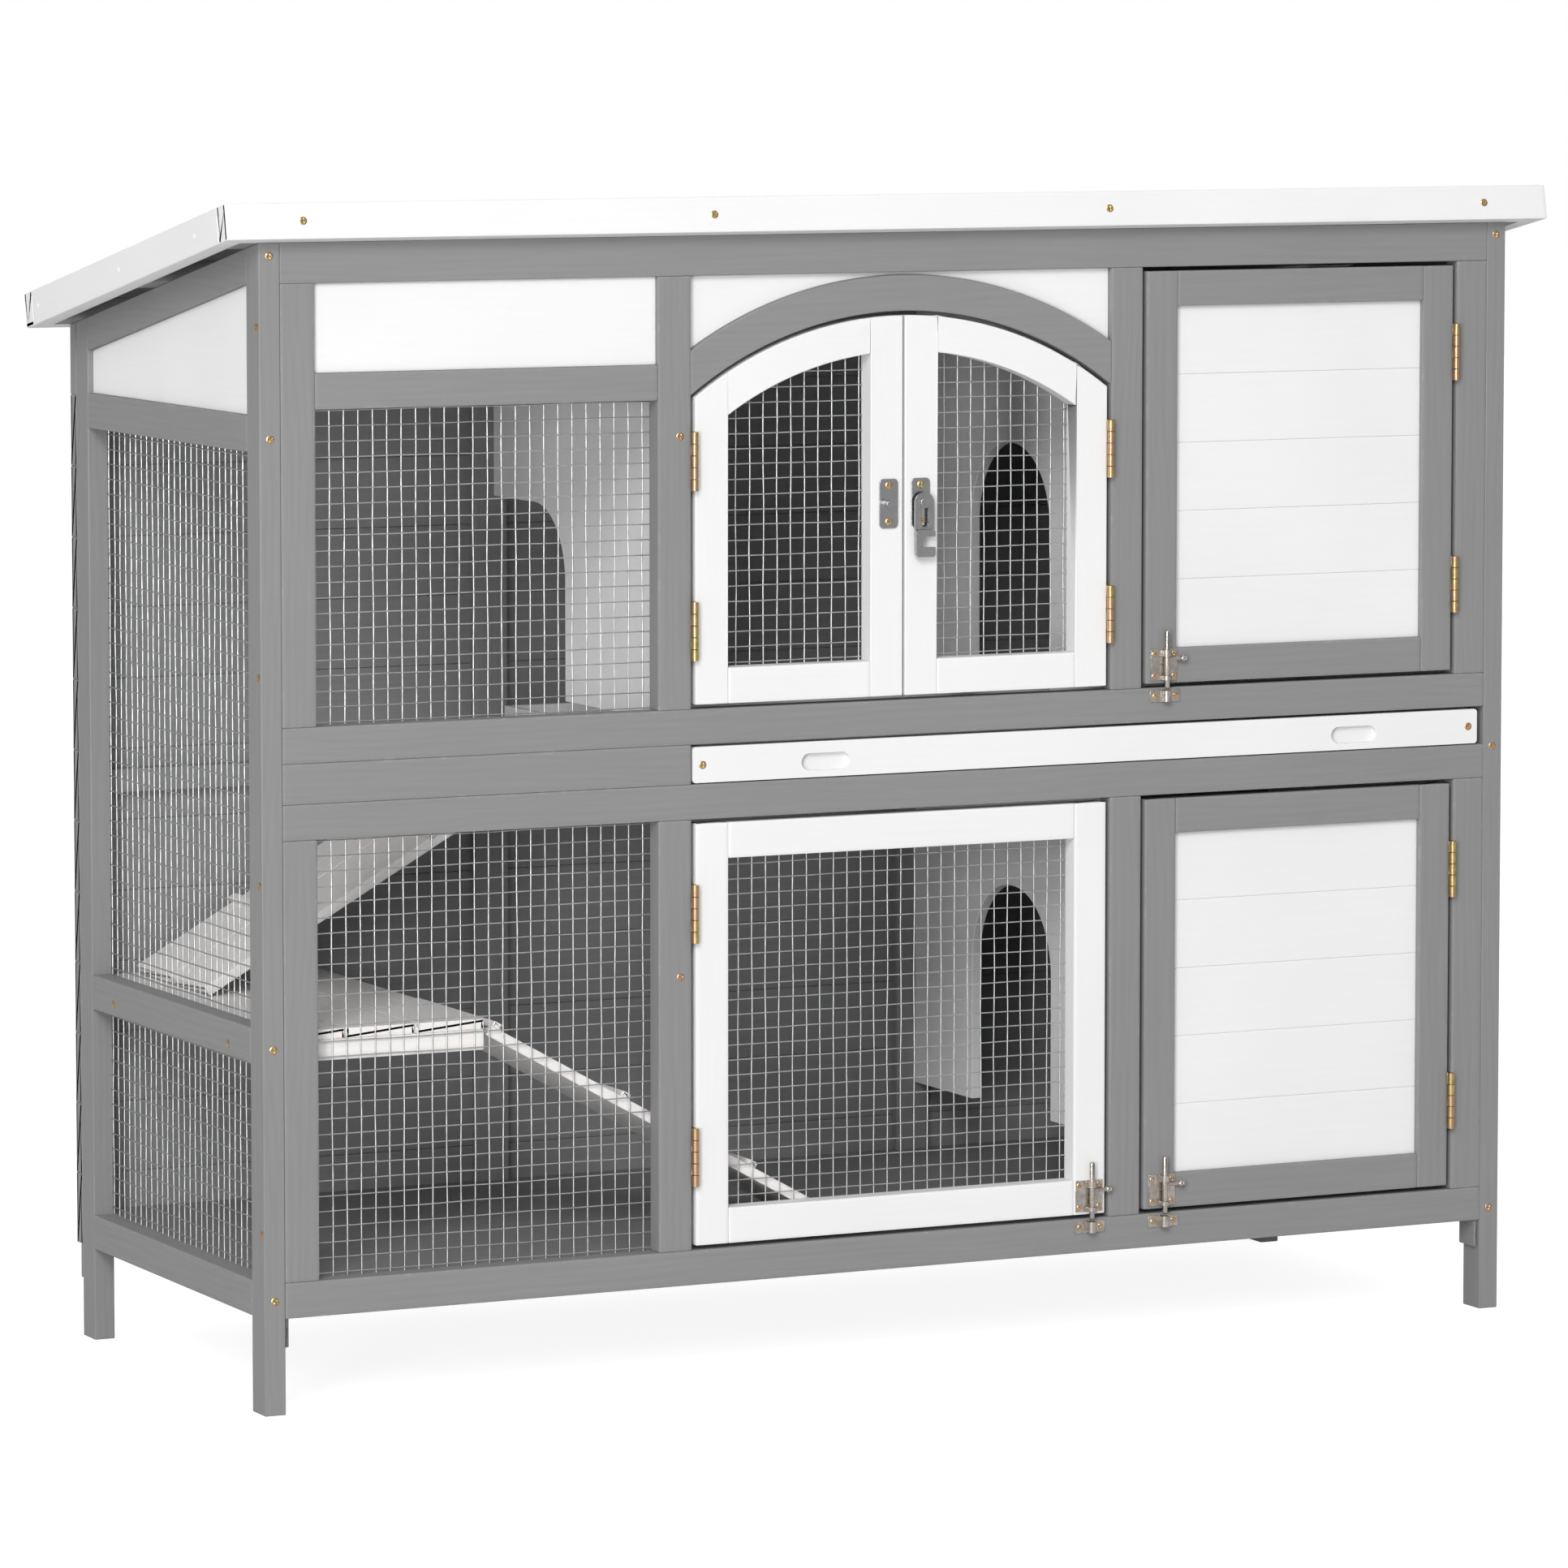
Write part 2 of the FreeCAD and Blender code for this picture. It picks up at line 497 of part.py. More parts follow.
def hinge(xh, side, zc, body):
    """A butt hinge in the gap beside a door. side is -1 with the door on its right, +1 on its left.
    xh is the middle of the gap; the frame half stands on the stile, the door half on the door."""
    gap = GAP_SIDE / 2.0
    z0 = zc - KNUCKLE_L / 2.0
    part = KNUCKLE_L / 5.0
    y = -HINGE_OUT
    pin = cyl(PIN_R, KNUCKLE_L, (xh, y, z0), (0, 0, 1))
    fx = sorted((xh + side * gap, xh + side * (gap - LEAF_PLATE_T)))
    dx = sorted((xh - side * gap, xh - side * (gap - LEAF_PLATE_T)))
    fixed = box(fx[0], fx[1], 0.3, LEAF_PLATE_D, z0, z0 + KNUCKLE_L).fuse(pin)
    moving = box(dx[0], dx[1], 0.3, LEAF_PLATE_D, z0, z0 + KNUCKLE_L)
    for i in range(5):
        a = z0 + i * part + (0.2 if i else 0.0)
        b = z0 + (i + 1) * part - (0.2 if i < 4 else 0.0)
        k = cyl(KNUCKLE_R, b - a, (xh, y, a), (0, 0, 1))
        if i % 2 == 0:
            fixed = fixed.fuse(k).fuse(box(fx[0], fx[1], y, 0.4, a, b))
        else:
            moving = moving.fuse(k).fuse(box(dx[0], dx[1], y, 0.4, a, b))
    moving = moving.cut(cyl(PIN_R + PIN_CLEAR, KNUCKLE_L + 2, (xh, y, z0 - 1), (0, 0, 1)))
    node("frame_hinges", fixed.removeSplitter())
    node(body, moving.removeSplitter())


def bolt_plate(xb, door_z0, body, name):
    """Barrel bolt standing drawn back: its rod ends above the keeper."""
    pz0 = door_z0 + 2.5
    cx = xb - 1.0
    plate = box(cx - PLATE_W / 2, cx + PLATE_W / 2, -PLATE_T, 0, pz0, pz0 + PLATE_H)
    y = -BOLT_OUT
    ro = BOLT_R + BOLT_CLEAR + 1.2
    hole = cyl(BOLT_R + BOLT_CLEAR, 200, (xb, y, pz0 - 80), (0, 0, 1))
    low = cyl(ro, 3.6, (xb, y, pz0 + 0.5), (0, 0, 1)).fuse(box(xb - ro, xb + ro, y, -PLATE_T, pz0 + 0.5, pz0 + 4.1))
    up = cyl(ro, 5.6, (xb, y, pz0 + PLATE_H - 6.1), (0, 0, 1)).fuse(
        box(xb - ro, xb + ro, y, -PLATE_T, pz0 + PLATE_H - 6.1, pz0 + PLATE_H - 0.5))
    plate = plate.fuse(low).fuse(up).cut(hole).removeSplitter()
    node(body, plate)
    for sx in (-1, 1):
        for sz in (4.0, PLATE_H - 4.0):
            node(body, pan_screw(cx + sx * 9.6, pz0 + sz, -PLATE_T, 2.3, 0.8))
    # the keeper stands on the rail below the door
    rail_top = door_z0 - GAP_END
    kz1 = rail_top - 1.8
    kz0 = kz1 - KEEPER_H
    keep = box(xb - KEEPER_W / 2, xb + KEEPER_W / 2, -PLATE_T, 0, kz0, kz1)
    keep = keep.fuse(cyl(ro, KEEPER_H - 1, (xb, y, kz0 + 0.5), (0, 0, 1))).fuse(
        box(xb - ro, xb + ro, y, -PLATE_T, kz0 + 0.5, kz1 - 0.5)).cut(hole).removeSplitter()
    node("bolt_keepers", keep)
    for sx in (-1, 1):
        node("bolt_keepers", pan_screw(xb + sx * 9.9, (kz0 + kz1) / 2, -PLATE_T, 2.3, 0.8))
    # the rod, drawn back; its locked place is one throw lower
    z0 = kz1 + 1.5
    rod = cyl(BOLT_R, BOLT_L, (xb, y, z0), (0, 0, 1))
    kz = pz0 + 4.1 + 2.0 + BOLT_THROW
    knob = cyl(1.3, 15.5, (xb, y, kz), (1, 0, 0)).fuse(
        cyl(2.7, 4.6, (xb + 14.5, y, kz), (1, 0, 0)))
    node(name, rod.fuse(knob).removeSplitter())


def rect_door(x0, x1, z0, z1, frame_name):
    """Four members: stiles full height, rails between them."""
    b = DOOR_BAR
    node(frame_name, box(x0, x0 + b, 0, DOOR_T, z0, z1), box(x1 - b, x1, 0, DOOR_T, z0, z1),
         box(x0 + b, x1 - b, 0, DOOR_T, z0, z0 + b), box(x0 + b, x1 - b, 0, DOOR_T, z1 - b, z1))
    return x0 + b, x1 - b, z0 + b, z1 - b


def planks(x0, x1, z0, z1, count, name):
    h = (z1 - z0) / count
    for i in range(count):
        a = z0 + i * h + (PLANK_GAP / 2 if i else 0)
        b = z0 + (i + 1) * h - (PLANK_GAP / 2 if i < count - 1 else 0)
        node(name, box(x0, x1, 5, 5 + PANE_T, a, b))


# right bay doors, hinged on the right
RX0, RX1 = S3[1] + GAP_SIDE, S4[0] - GAP_SIDE
HINGE_R = S4[0] - GAP_SIDE / 2.0
for z0, z1, stem in ((Z_UP0 + GAP_END, Z_UP1 - GAP_END, "upper_right"),
                     (Z_FLOOR + GAP_END, Z_DECK0 - GAP_END, "lower_right")):
    w = rect_door(RX0, RX1, z0, z1, stem + "_door_frame")
    planks(w[0], w[1], w[2], w[3], 5, stem + "_door_planks")
    hinge(HINGE_R, 1, z0 + HINGE_IN, stem + "_door_fittings")
    hinge(HINGE_R, 1, z1 - HINGE_IN, stem + "_door_fittings")
    bolt_plate(RX0 + 18.5, z0, stem + "_door_fittings", stem + "_bolt")

# lower middle door, hinged on the left
MX0, MX1 = S2[1] + GAP_SIDE, S3[0] - GAP_SIDE
mz0, mz1 = Z_FLOOR + GAP_END, Z_DECK0 - GAP_END
w = rect_door(MX0, MX1, mz0, mz1, "lower_mesh_door_frame")
node("lower_mesh_door_mesh", mesh_front(w[0], w[1], DOOR_T, w[2], w[3]))
hinge(S2[1] + GAP_SIDE / 2.0, -1, mz0 + HINGE_IN, "lower_mesh_door_fittings")
hinge(S2[1] + GAP_SIDE / 2.0, -1, mz1 - HINGE_IN, "lower_mesh_door_fittings")
bolt_plate(MX1 - 14.5, mz0, "lower_mesh_door_fittings", "lower_mesh_bolt")

# arched leaves
R_LEAF = ARCH_R - ARCH_GAP
R_WIN = R_LEAF - DOOR_BAR
AZ0 = Z_UP0 + GAP_END
LX = (S2[1] + GAP_SIDE, CX - LEAF_GAP / 2.0)
RX = (CX + LEAF_GAP / 2.0, S3[0] - GAP_SIDE)
outer = disc(R_LEAF, 0, DOOR_T)
window = disc(R_WIN, -1, DOOR_T + 1)
for stem, (a, b) in (("arch_left", LX), ("arch_right", RX)):
    zc = AZ0 + DOOR_BAR
    left = box(a, a + DOOR_BAR, 0, DOOR_T, AZ0, CZ + R_LEAF + 5).common(outer)
    right = box(b - DOOR_BAR, b, 0, DOOR_T, AZ0, CZ + R_LEAF + 5).common(outer)
    low = box(a + DOOR_BAR, b - DOOR_BAR, 0, DOOR_T, AZ0, zc)
    top = box(a + DOOR_BAR, b - DOOR_BAR, 0, DOOR_T, zc, CZ + R_LEAF + 5).common(outer).cut(window)
    node(stem + "_frame", left, right, low, top)
    node(stem + "_mesh", mesh_front(
        a + DOOR_BAR, b - DOOR_BAR, DOOR_T, zc, CZ + R_WIN,
        top=lambda x: CZ + math.sqrt(max(R_WIN ** 2 - (x - CX) ** 2, 0.0))))
ARCH_END = CZ + math.sqrt(ARCH_R ** 2 - HALF ** 2)     # where the arch rail meets the stiles
ARCH_HINGES = (CZ + ARCH_HINGE_LOW, ARCH_END - ARCH_HINGE_TOP)
for z in ARCH_HINGES:
    hinge(S2[1] + GAP_SIDE / 2.0, -1, z, "arch_left_fittings")
    hinge(S3[0] - GAP_SIDE / 2.0, 1, z, "arch_right_fittings")

# latch of the arched leaves: a plate and stud on each, and a bar on the right stud
HZC = Z_UP0 + 165.6
HXL, HXR = CX - 15.0, CX + 15.0
BAR_R = 9.0
STUD_L = CX - 17.0
STUD_R = CX + 16.5
for cx_, sx, body in ((HXL, STUD_L, "arch_left_fittings"), (HXR, STUD_R, "arch_right_fittings")):
    plate = box(cx_ - 8.7, cx_ + 8.7, -1.5, 0, HZC - 20.8, HZC + 20.8)
    plate = round_corners(plate, 4.0, AY)
    stud = cyl(HASP_R, 5.6, (sx, -1.0, HZC), (0, -1, 0))
    plate = plate.fuse(stud)
    if body == "arch_right_fittings":
        plate = plate.fuse(cyl(HASP_R + 1.2, 1.2, (sx, -6.6, HZC), (0, -1, 0)))
    else:
        plate = plate.fuse(cyl(HASP_R, 2.6, (sx, -6.6, HZC), (0, -1, 0)))
    node(body, plate.removeSplitter())
    for dz in (-15.2, 15.2):
        node(body, pan_screw(cx_, HZC + dz, -1.5, 3.2, 1.0))

# the bar, drawn as it lies when shut, pointing left
REACH = STUD_R - STUD_L
by0, by1 = -6.2, -4.2
bar = box(-REACH + 11.0, 0.0, by0, by1, -BAR_R, BAR_R).fuse(cyl(BAR_R, by1 - by0, (0, by0, 0), (0, 1, 0)))
block = box(-REACH - 12.0, -REACH + 11.0, by0 - 2.4, by1, -BAR_R, BAR_R)
block = round_corners(block, 3.0, AY)
bar = bar.fuse(block)
r = HASP_R + HASP_CLEAR
bar = bar.cut(cyl(r, 30, (0, -20, 0), (0, 1, 0)))
bar = bar.cut(cyl(r, 30, (-17.0, -20, 0), (0, 1, 0))).cut(box(-17.0, 0, -20, 10, -r, r))
bar = bar.cut(cyl(r + 0.2, 30, (-REACH, -20, 0), (0, 1, 0))).cut(
    box(-REACH - r - 0.2, -REACH + r + 1.6, -20, 10, -BAR_R - 5, 0))
# it is free of its stud and hangs from the other one
bar.rotate(FreeCAD.Vector(0, 0, 0), AY, -90)
bar.translate(FreeCAD.Vector(STUD_R, 0, HZC))
node("hasp_bar", bar.removeSplitter())

# ---- tray ----------------------------------------------------------------------------------
TX0, TX1 = P_LEFT + 1.3, X4R - 6.7
TZ0 = Z_DECK1 + TRAY_CLEAR
front = round_corners(box(TX0, TX1, 0, TRAY_FRONT_T, TZ0, TZ0 + TRAY_LIP), 3.0, AY)
SLOT_W, SLOT_H = 45.0, 14.5
for xc in (TX0 + 123.0, TX1 - 124.0):
    zc = TZ0 + 13.0
    s = box(xc - SLOT_W / 2 + SLOT_H / 2, xc + SLOT_W / 2 - SLOT_H / 2, -1, FINGER_D, zc - SLOT_H / 2, zc + SLOT_H / 2)
    for d in (-1, 1):
        s = s.fuse(cyl(SLOT_H / 2, FINGER_D + 1, (xc + d * (SLOT_W - SLOT_H) / 2, -1, zc), (0, 1, 0)))
    front = front.cut(s)
node("tray_front", front)
TY0, TY1 = TRAY_FRONT_T, BY0 - TRAY_BACK
TBX0 = TX0 + 6.0
TTOP = TZ0 + TRAY_LIP
node("tray_pan",
     box(TBX0, TX1, TY0, TY1, TZ0, TZ0 + 4.0),
     box(TBX0, TBX0 + TRAY_WALL, TY0, TY1, TZ0 + 4.0, TTOP),
     box(TX1 - TRAY_WALL, TX1, TY0, TY1, TZ0 + 4.0, TTOP),
     box(TBX0 + TRAY_WALL, TX1 - TRAY_WALL, TY1 - TRAY_WALL, TY1, TZ0 + 4.0, TTOP))
node("tray_screws", [pan_screw(x, TZ0 + TRAY_LIP / 2.0) for x in (TX0 + 9.0, TX1 - 9.0)])

# ---- roof ----------------------------------------------------------------------------------
# set out flat in (s along the slope, h above the plane), then laid on the plane
S_FRONT = -ROOF_FRONT / COS
S_BACK = (BODY_D + ROOF_BACK) / COS
RXL, RXR = -ROOF_SIDE, BODY_W + ROOF_SIDE


def on_roof(x0, x1, s0, s1, h0, h1):
    def p(s, h):
        return (s * COS + h * SIN, Z_TOP - s * SIN + h * COS)
    return prism_x([p(s0, h0), p(s1, h0), p(s1, h1), p(s0, h1)], x0, x1)


node("roof_frame",
     on_roof(RXL, RXR, S_FRONT, S_FRONT + STRIP_T, 0, STRIP_H),
     on_roof(RXL, RXR, S_BACK - STRIP_T, S_BACK, 0, STRIP_H),
     on_roof(RXL, RXL + STRIP_T, S_FRONT + STRIP_T, S_BACK - STRIP_T, 0, STRIP_H),
     on_roof(RXR - STRIP_T, RXR, S_FRONT + STRIP_T, S_BACK - STRIP_T, 0, STRIP_H))
IN_S0, IN_S1 = S_FRONT + STRIP_T, S_BACK - STRIP_T
H_FELT1 = STRIP_H - FELT_DROP
H_FELT0 = H_FELT1 - FELT_T
H_BOARD0 = H_FELT0 - BOARD
node("roof_felt", on_roof(RXL + STRIP_T, RXR - STRIP_T, IN_S0, IN_S1, H_FELT0, H_FELT1))
node("roof_board", on_roof(RXL + STRIP_T, RXR - STRIP_T, IN_S0, IN_S1, H_BOARD0, H_FELT0))
for s in (IN_S0, (IN_S0 + IN_S1 - RAIL) / 2.0, IN_S1 - RAIL):
    node("roof_board", on_roof(RXL + STRIP_T, RXR - STRIP_T, s, s + RAIL, 0, H_BOARD0))

# ---- leg cleats ----------------------------------------------------------------------------
for x0, x1 in ((X1, X1 + 4.0), (X4R - 4.0, X4R)):
    node("leg_cleats", box(x0, x1, 2.5, 28.5, LEG_H - 24.0, LEG_H))
for x0 in (0.0, X4R):
    node("leg_cleats", box(x0, x0 + SIDE_T, BODY_D, BODY_D + 4.8, LEG_H - 29.0, LEG_H))

# ---- screws in the frame -------------------------------------------------------------------
screws = [pan_screw(SIDE_T / 2.0, z) for z in (Z_TOP - 11, Z_UP0 + 234, SIDE_MID_Z + 13.4, Z_FLOOR - 14.3)]
screws += [pan_screw(S2[0] + 20.0, z) for z in (Z_UP0 + 227, Z_FLOOR + 230)]
screws += [pan_screw(BODY_W - 9.5, z) for z in (Z_TOP - 11, Z_DECK1 - 2.0, Z_FLOOR - 18.8)]
screws += [side_screw(5.0, z) for z in (Z_UP1 - 35, Z_UP0 + 41, Z_DECK0 - 36, Z_FLOOR + 40)]
screws += [side_screw(y, SIDE_MID_Z + 9.9) for y in (76.5, BODY_D - 78.0)]


def strip_screw(x):
    """On the front strip of the roof, square to its face."""
    s, h = S_FRONT, STRIP_H * 0.5
    p = FreeCAD.Vector(x, s * COS + h * SIN, Z_TOP - s * SIN + h * COS)
    d = FreeCAD.Vector(0, -COS, SIN)
    return Part.makeCylinder(SCREW_R, SCREW_H, p, d)


screws += [strip_screw(x) for x in (33.5, 399.2, 768.9, BODY_W - 29.6)]
node("frame_screws", screws)
nails = []
for y in (56.8, BODY_D / 2 + 19.2, BODY_D + 2.4):
    s = y / COS - STRIP_H * 0.5 * TAN
    h = STRIP_H * 0.5
    nails.append(cyl(2.4, 0.6, (RXL, s * COS + h * SIN, Z_TOP - s * SIN + h * COS), (-1, 0, 0)))
node("frame_screws", nails)

# ---- place and write -----------------------------------------------------------------------
low_y = min(s.BoundBox.YMin for group in NODES.values() for s in group)
high_y = max(s.BoundBox.YMax for group in NODES.values() for s in group)
low_x = min(s.BoundBox.XMin for group in NODES.values() for s in group)
high_x = max(s.BoundBox.XMax for group in NODES.values() for s in group)
SHIFT = FreeCAD.Vector(-(low_x + high_x) / 2.0, -(low_y + high_y) / 2.0, 0)
print("shift", round(SHIFT.x, 5), round(SHIFT.y, 5))
print("arch centre", round(CX + SHIFT.x, 3), round(CZ, 3), "leaf window radius", round(R_WIN, 3))
print("hinge lines: left", round(S2[1] + GAP_SIDE / 2 + SHIFT.x, 4), "arch right",
      round(S3[0] - GAP_SIDE / 2 + SHIFT.x, 4), "right bay", round(HINGE_R + SHIFT.x, 4),
      "y", round(-HINGE_OUT + SHIFT.y, 4))
print("ramp slopes", round(LOW_SLOPE, 3), round(UP_SLOPE, 3), "lower ramp hinge", round(HX + SHIFT.x, 4), round(HZ, 4), "upper ramp hinge",
      round(UX + SHIFT.x, 4), round(UZ, 4), "hasp", round(STUD_R + SHIFT.x, 4), round(HZC, 4))

os.makedirs("parts", exist_ok=True)
for old in os.listdir("parts"):
    if old.endswith(".step"):
        os.remove(os.path.join("parts", old))
total = 0.0
for name in sorted(NODES):
    moved = []
    for s in NODES[name]:
        t = s.copy()
        t.translate(SHIFT)
        if not t.isValid() or t.Volume <= 0:
            print("bad solid in", name)
        moved.append(t)
    shape = moved[0] if len(moved) == 1 else Part.makeCompound(moved)
    shape.exportStep(os.path.join("parts", name + ".step"))
    b = shape.BoundBox
    total += shape.Volume
    print(f"{name:28s} {len(moved):4d}  x {b.XMin:8.1f} {b.XMax:8.1f}  y {b.YMin:8.1f} {b.YMax:8.1f}  z {b.ZMin:7.1f} {b.ZMax:7.1f}")
print("nodes", len(NODES), "volume litres", round(total / 1e6, 2))
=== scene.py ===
"""Looks for a two-storey rabbit hutch: painted and bare softwood, welded wire, brass and nickel fittings."""

import json
import math

import bmesh
import bpy
import numpy as np
from bpy.props import FloatProperty, FloatVectorProperty, IntProperty, PointerProperty
from bpy.types import Operator, Panel, PropertyGroup
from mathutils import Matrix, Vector


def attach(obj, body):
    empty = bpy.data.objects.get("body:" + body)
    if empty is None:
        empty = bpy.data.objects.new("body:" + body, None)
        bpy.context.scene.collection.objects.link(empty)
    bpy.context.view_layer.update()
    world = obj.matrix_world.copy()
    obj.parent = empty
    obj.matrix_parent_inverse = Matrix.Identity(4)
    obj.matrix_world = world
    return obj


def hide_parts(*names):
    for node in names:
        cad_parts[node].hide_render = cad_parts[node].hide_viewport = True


bl_info = {
    "name": "Rabbit hutch finish",
    "version": (1, 0, 0),
    "blender": (4, 5, 0),
    "location": "View3D > Sidebar > Hutch",
    "description": "Boards, wire, fittings and finishes of a two-storey rabbit hutch",
    "category": "Add Mesh",
}

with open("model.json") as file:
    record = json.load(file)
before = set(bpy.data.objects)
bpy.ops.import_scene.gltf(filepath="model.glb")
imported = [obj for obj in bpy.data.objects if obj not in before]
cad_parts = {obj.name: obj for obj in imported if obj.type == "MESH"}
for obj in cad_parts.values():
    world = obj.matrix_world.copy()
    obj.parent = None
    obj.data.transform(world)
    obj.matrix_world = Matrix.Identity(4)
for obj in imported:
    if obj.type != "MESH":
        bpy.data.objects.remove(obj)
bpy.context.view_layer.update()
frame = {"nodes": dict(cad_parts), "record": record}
NODES = frame["nodes"]

# lengths are in metres and angles in degrees, unless a comment says otherwise
MERGE_GRID = 1e6        # corners that agree to one part in this many of a metre are one corner
BOX_SLACK = 2e-5        # how far a corner may lie from a true box
SQUARE_SLACK = 1e-3     # how far from square two edges of a box may be, as a cosine
EDGE_BAND = 0.0025      # width of the strip beside an edge over which wear fades out
EASE_LIMIT = 0.3        # no edge is rounded by more than this share of the board's thickness
BAND_LIMIT = 0.45       # nor is the strip wider than this share of a flat
SHAPE_EASE = 0.9        # edges of a shape that isn't a box, as a share of a board's
SEED_COUNT = 17         # nodes begin on the grain map at one of this many places
GRAIN_STEP = (1.37, 0.611)   # each board reads the map this far on from the last, along and across
WIRE_WANDER = 0.00035   # how far a mesh wire strays from straight
WIRE_STEP = 0.03        # spacing of the rings along a wire
WIRE_RINGS = (2, 8)     # fewest and most spans of rings
WAVE_LONG = (0.19, 2.4)      # length of a wire's slower bend and its turn, in radians, from wire to wire
WAVE_SHORT = (0.13, 1.7)     # the same for the quicker bend
SMOOTH_ANGLE = 40       # edges sharper than this stay sharp
FLAT_ANGLE = 1.0        # faces nearer than this to one plane are joined
BEVEL_ANGLE = 35        # edges sharper than this are eased
BEVEL_SEGMENTS = 2
FELT_EASE = 0.0006
METAL_EASE = 0.00025
HASP_EASE = 0.0004
HEAD_SIDES = 24         # a screw head's points round
HEAD_RINGS = 9          # and from its middle to its rim
HEAD_HOLE = 0.04        # its innermost ring; this and the next five are shares of its radius or height
HEAD_FALL = 0.75        # how much lower the rim is than the middle
CROSS_ARM = 0.17        # half the width of an arm of the cross
CROSS_REACH = 0.72      # where the arms end
CROSS_FADE = 0.15       # over what distance they run out
CROSS_DEPTH = 0.75      # how deep they are
SEAT_DEPTH = 0.0002     # how far a head's rim goes into its seat

# body of every CAD node, for the pieces that stand for it
BODY = {n: b for b, members in frame["record"]["behaviour"]["bodies"].items() for n in members}


# ---- reading the frame ---------------------------------------------------------------------
def solids(node):
    """The separate solids of a CAD node: a list of (points, triangles) arrays with merged corners. Two
    triangles belong together when they share an edge that no third one uses, so that solids which only
    meet at a corner or along an edge stay apart."""
    mesh = NODES[node].data
    co = np.empty(len(mesh.vertices) * 3)
    mesh.vertices.foreach_get("co", co)
    co = co.reshape(-1, 3)
    mesh.calc_loop_triangles()
    tri = np.empty(len(mesh.loop_triangles) * 3, int)
    mesh.loop_triangles.foreach_get("vertices", tri)
    grid = np.round(co * MERGE_GRID).astype(np.int64)
    _, first, same = np.unique(grid, axis=0, return_index=True, return_inverse=True)
    co, tri = co[first], same.reshape(-1)[tri].reshape(-1, 3)
    edges = np.sort(np.concatenate([tri[:, [0, 1]], tri[:, [1, 2]], tri[:, [2, 0]]]), axis=1)
    owner = np.tile(np.arange(len(tri)), 3)
    _, edge, uses = np.unique(edges, axis=0, return_inverse=True, return_counts=True)
    edge = edge.reshape(-1)
    order = np.argsort(edge, kind="stable")
    pairs = owner[order][(uses == 2)[edge[order]]].reshape(-1, 2)
    label = np.arange(len(tri))
    while True:
        low = np.minimum(label[pairs[:, 0]], label[pairs[:, 1]])
        new = label.copy()
        np.minimum.at(new, pairs.reshape(-1), np.repeat(low, 2))
        new = new[new]
        if (new == label).all():
            break
        label = new
    out = []
    for k in np.unique(label):
        used, inverse = np.unique(tri[label == k], return_inverse=True)
        out.append((co[used], inverse.reshape(-1, 3)))
    return out


def is_box(points, axes):
    """True when a solid's corners, turned by axes, are the eight corners of an upright box."""
    turned = points @ axes.T
    low, high = turned.min(0), turned.max(0)
    near = np.minimum(abs(turned - low), abs(turned - high)).max()
    return near < BOX_SLACK and len(points) == 8


def board_axes(points):
    """Rows are a box's own three edge directions: from one corner the shortest step, the shortest step
    square to it and the step square to both. None when the solid isn't a box."""
    if is_box(points, np.eye(3)):
        return np.eye(3)
    steps = points[1:] - points[0]
    steps = steps[np.argsort(np.linalg.norm(steps, axis=1))]
    steps = steps / np.linalg.norm(steps, axis=1)[:, None]
    chosen = [steps[0]]
    for step in steps[1:]:
        if len(chosen) < 3 and max(abs(step @ c) for c in chosen) < SQUARE_SLACK:
            chosen.append(step)
    if len(chosen) < 3:
        return None
    axes = np.array(chosen)
    if np.linalg.det(axes) < 0:
        axes[0] = -axes[0]
    return axes if is_box(points, axes) else None


# ---- surfaces ------------------------------------------------------------------------------
def grid_faces(rows, cols, wrap=True):
    """Quads between neighbouring rings of a (rows x cols) grid of points; wrap joins the last column to
    the first."""
    n = cols if wrap else cols - 1
    i, j = np.meshgrid(np.arange(rows - 1), np.arange(n), indexing="ij")
    k = (j + 1) % cols
    quads = np.stack([i * cols + j, i * cols + k, (i + 1) * cols + k, (i + 1) * cols + j], -1)
    return quads.reshape(-1, 4)


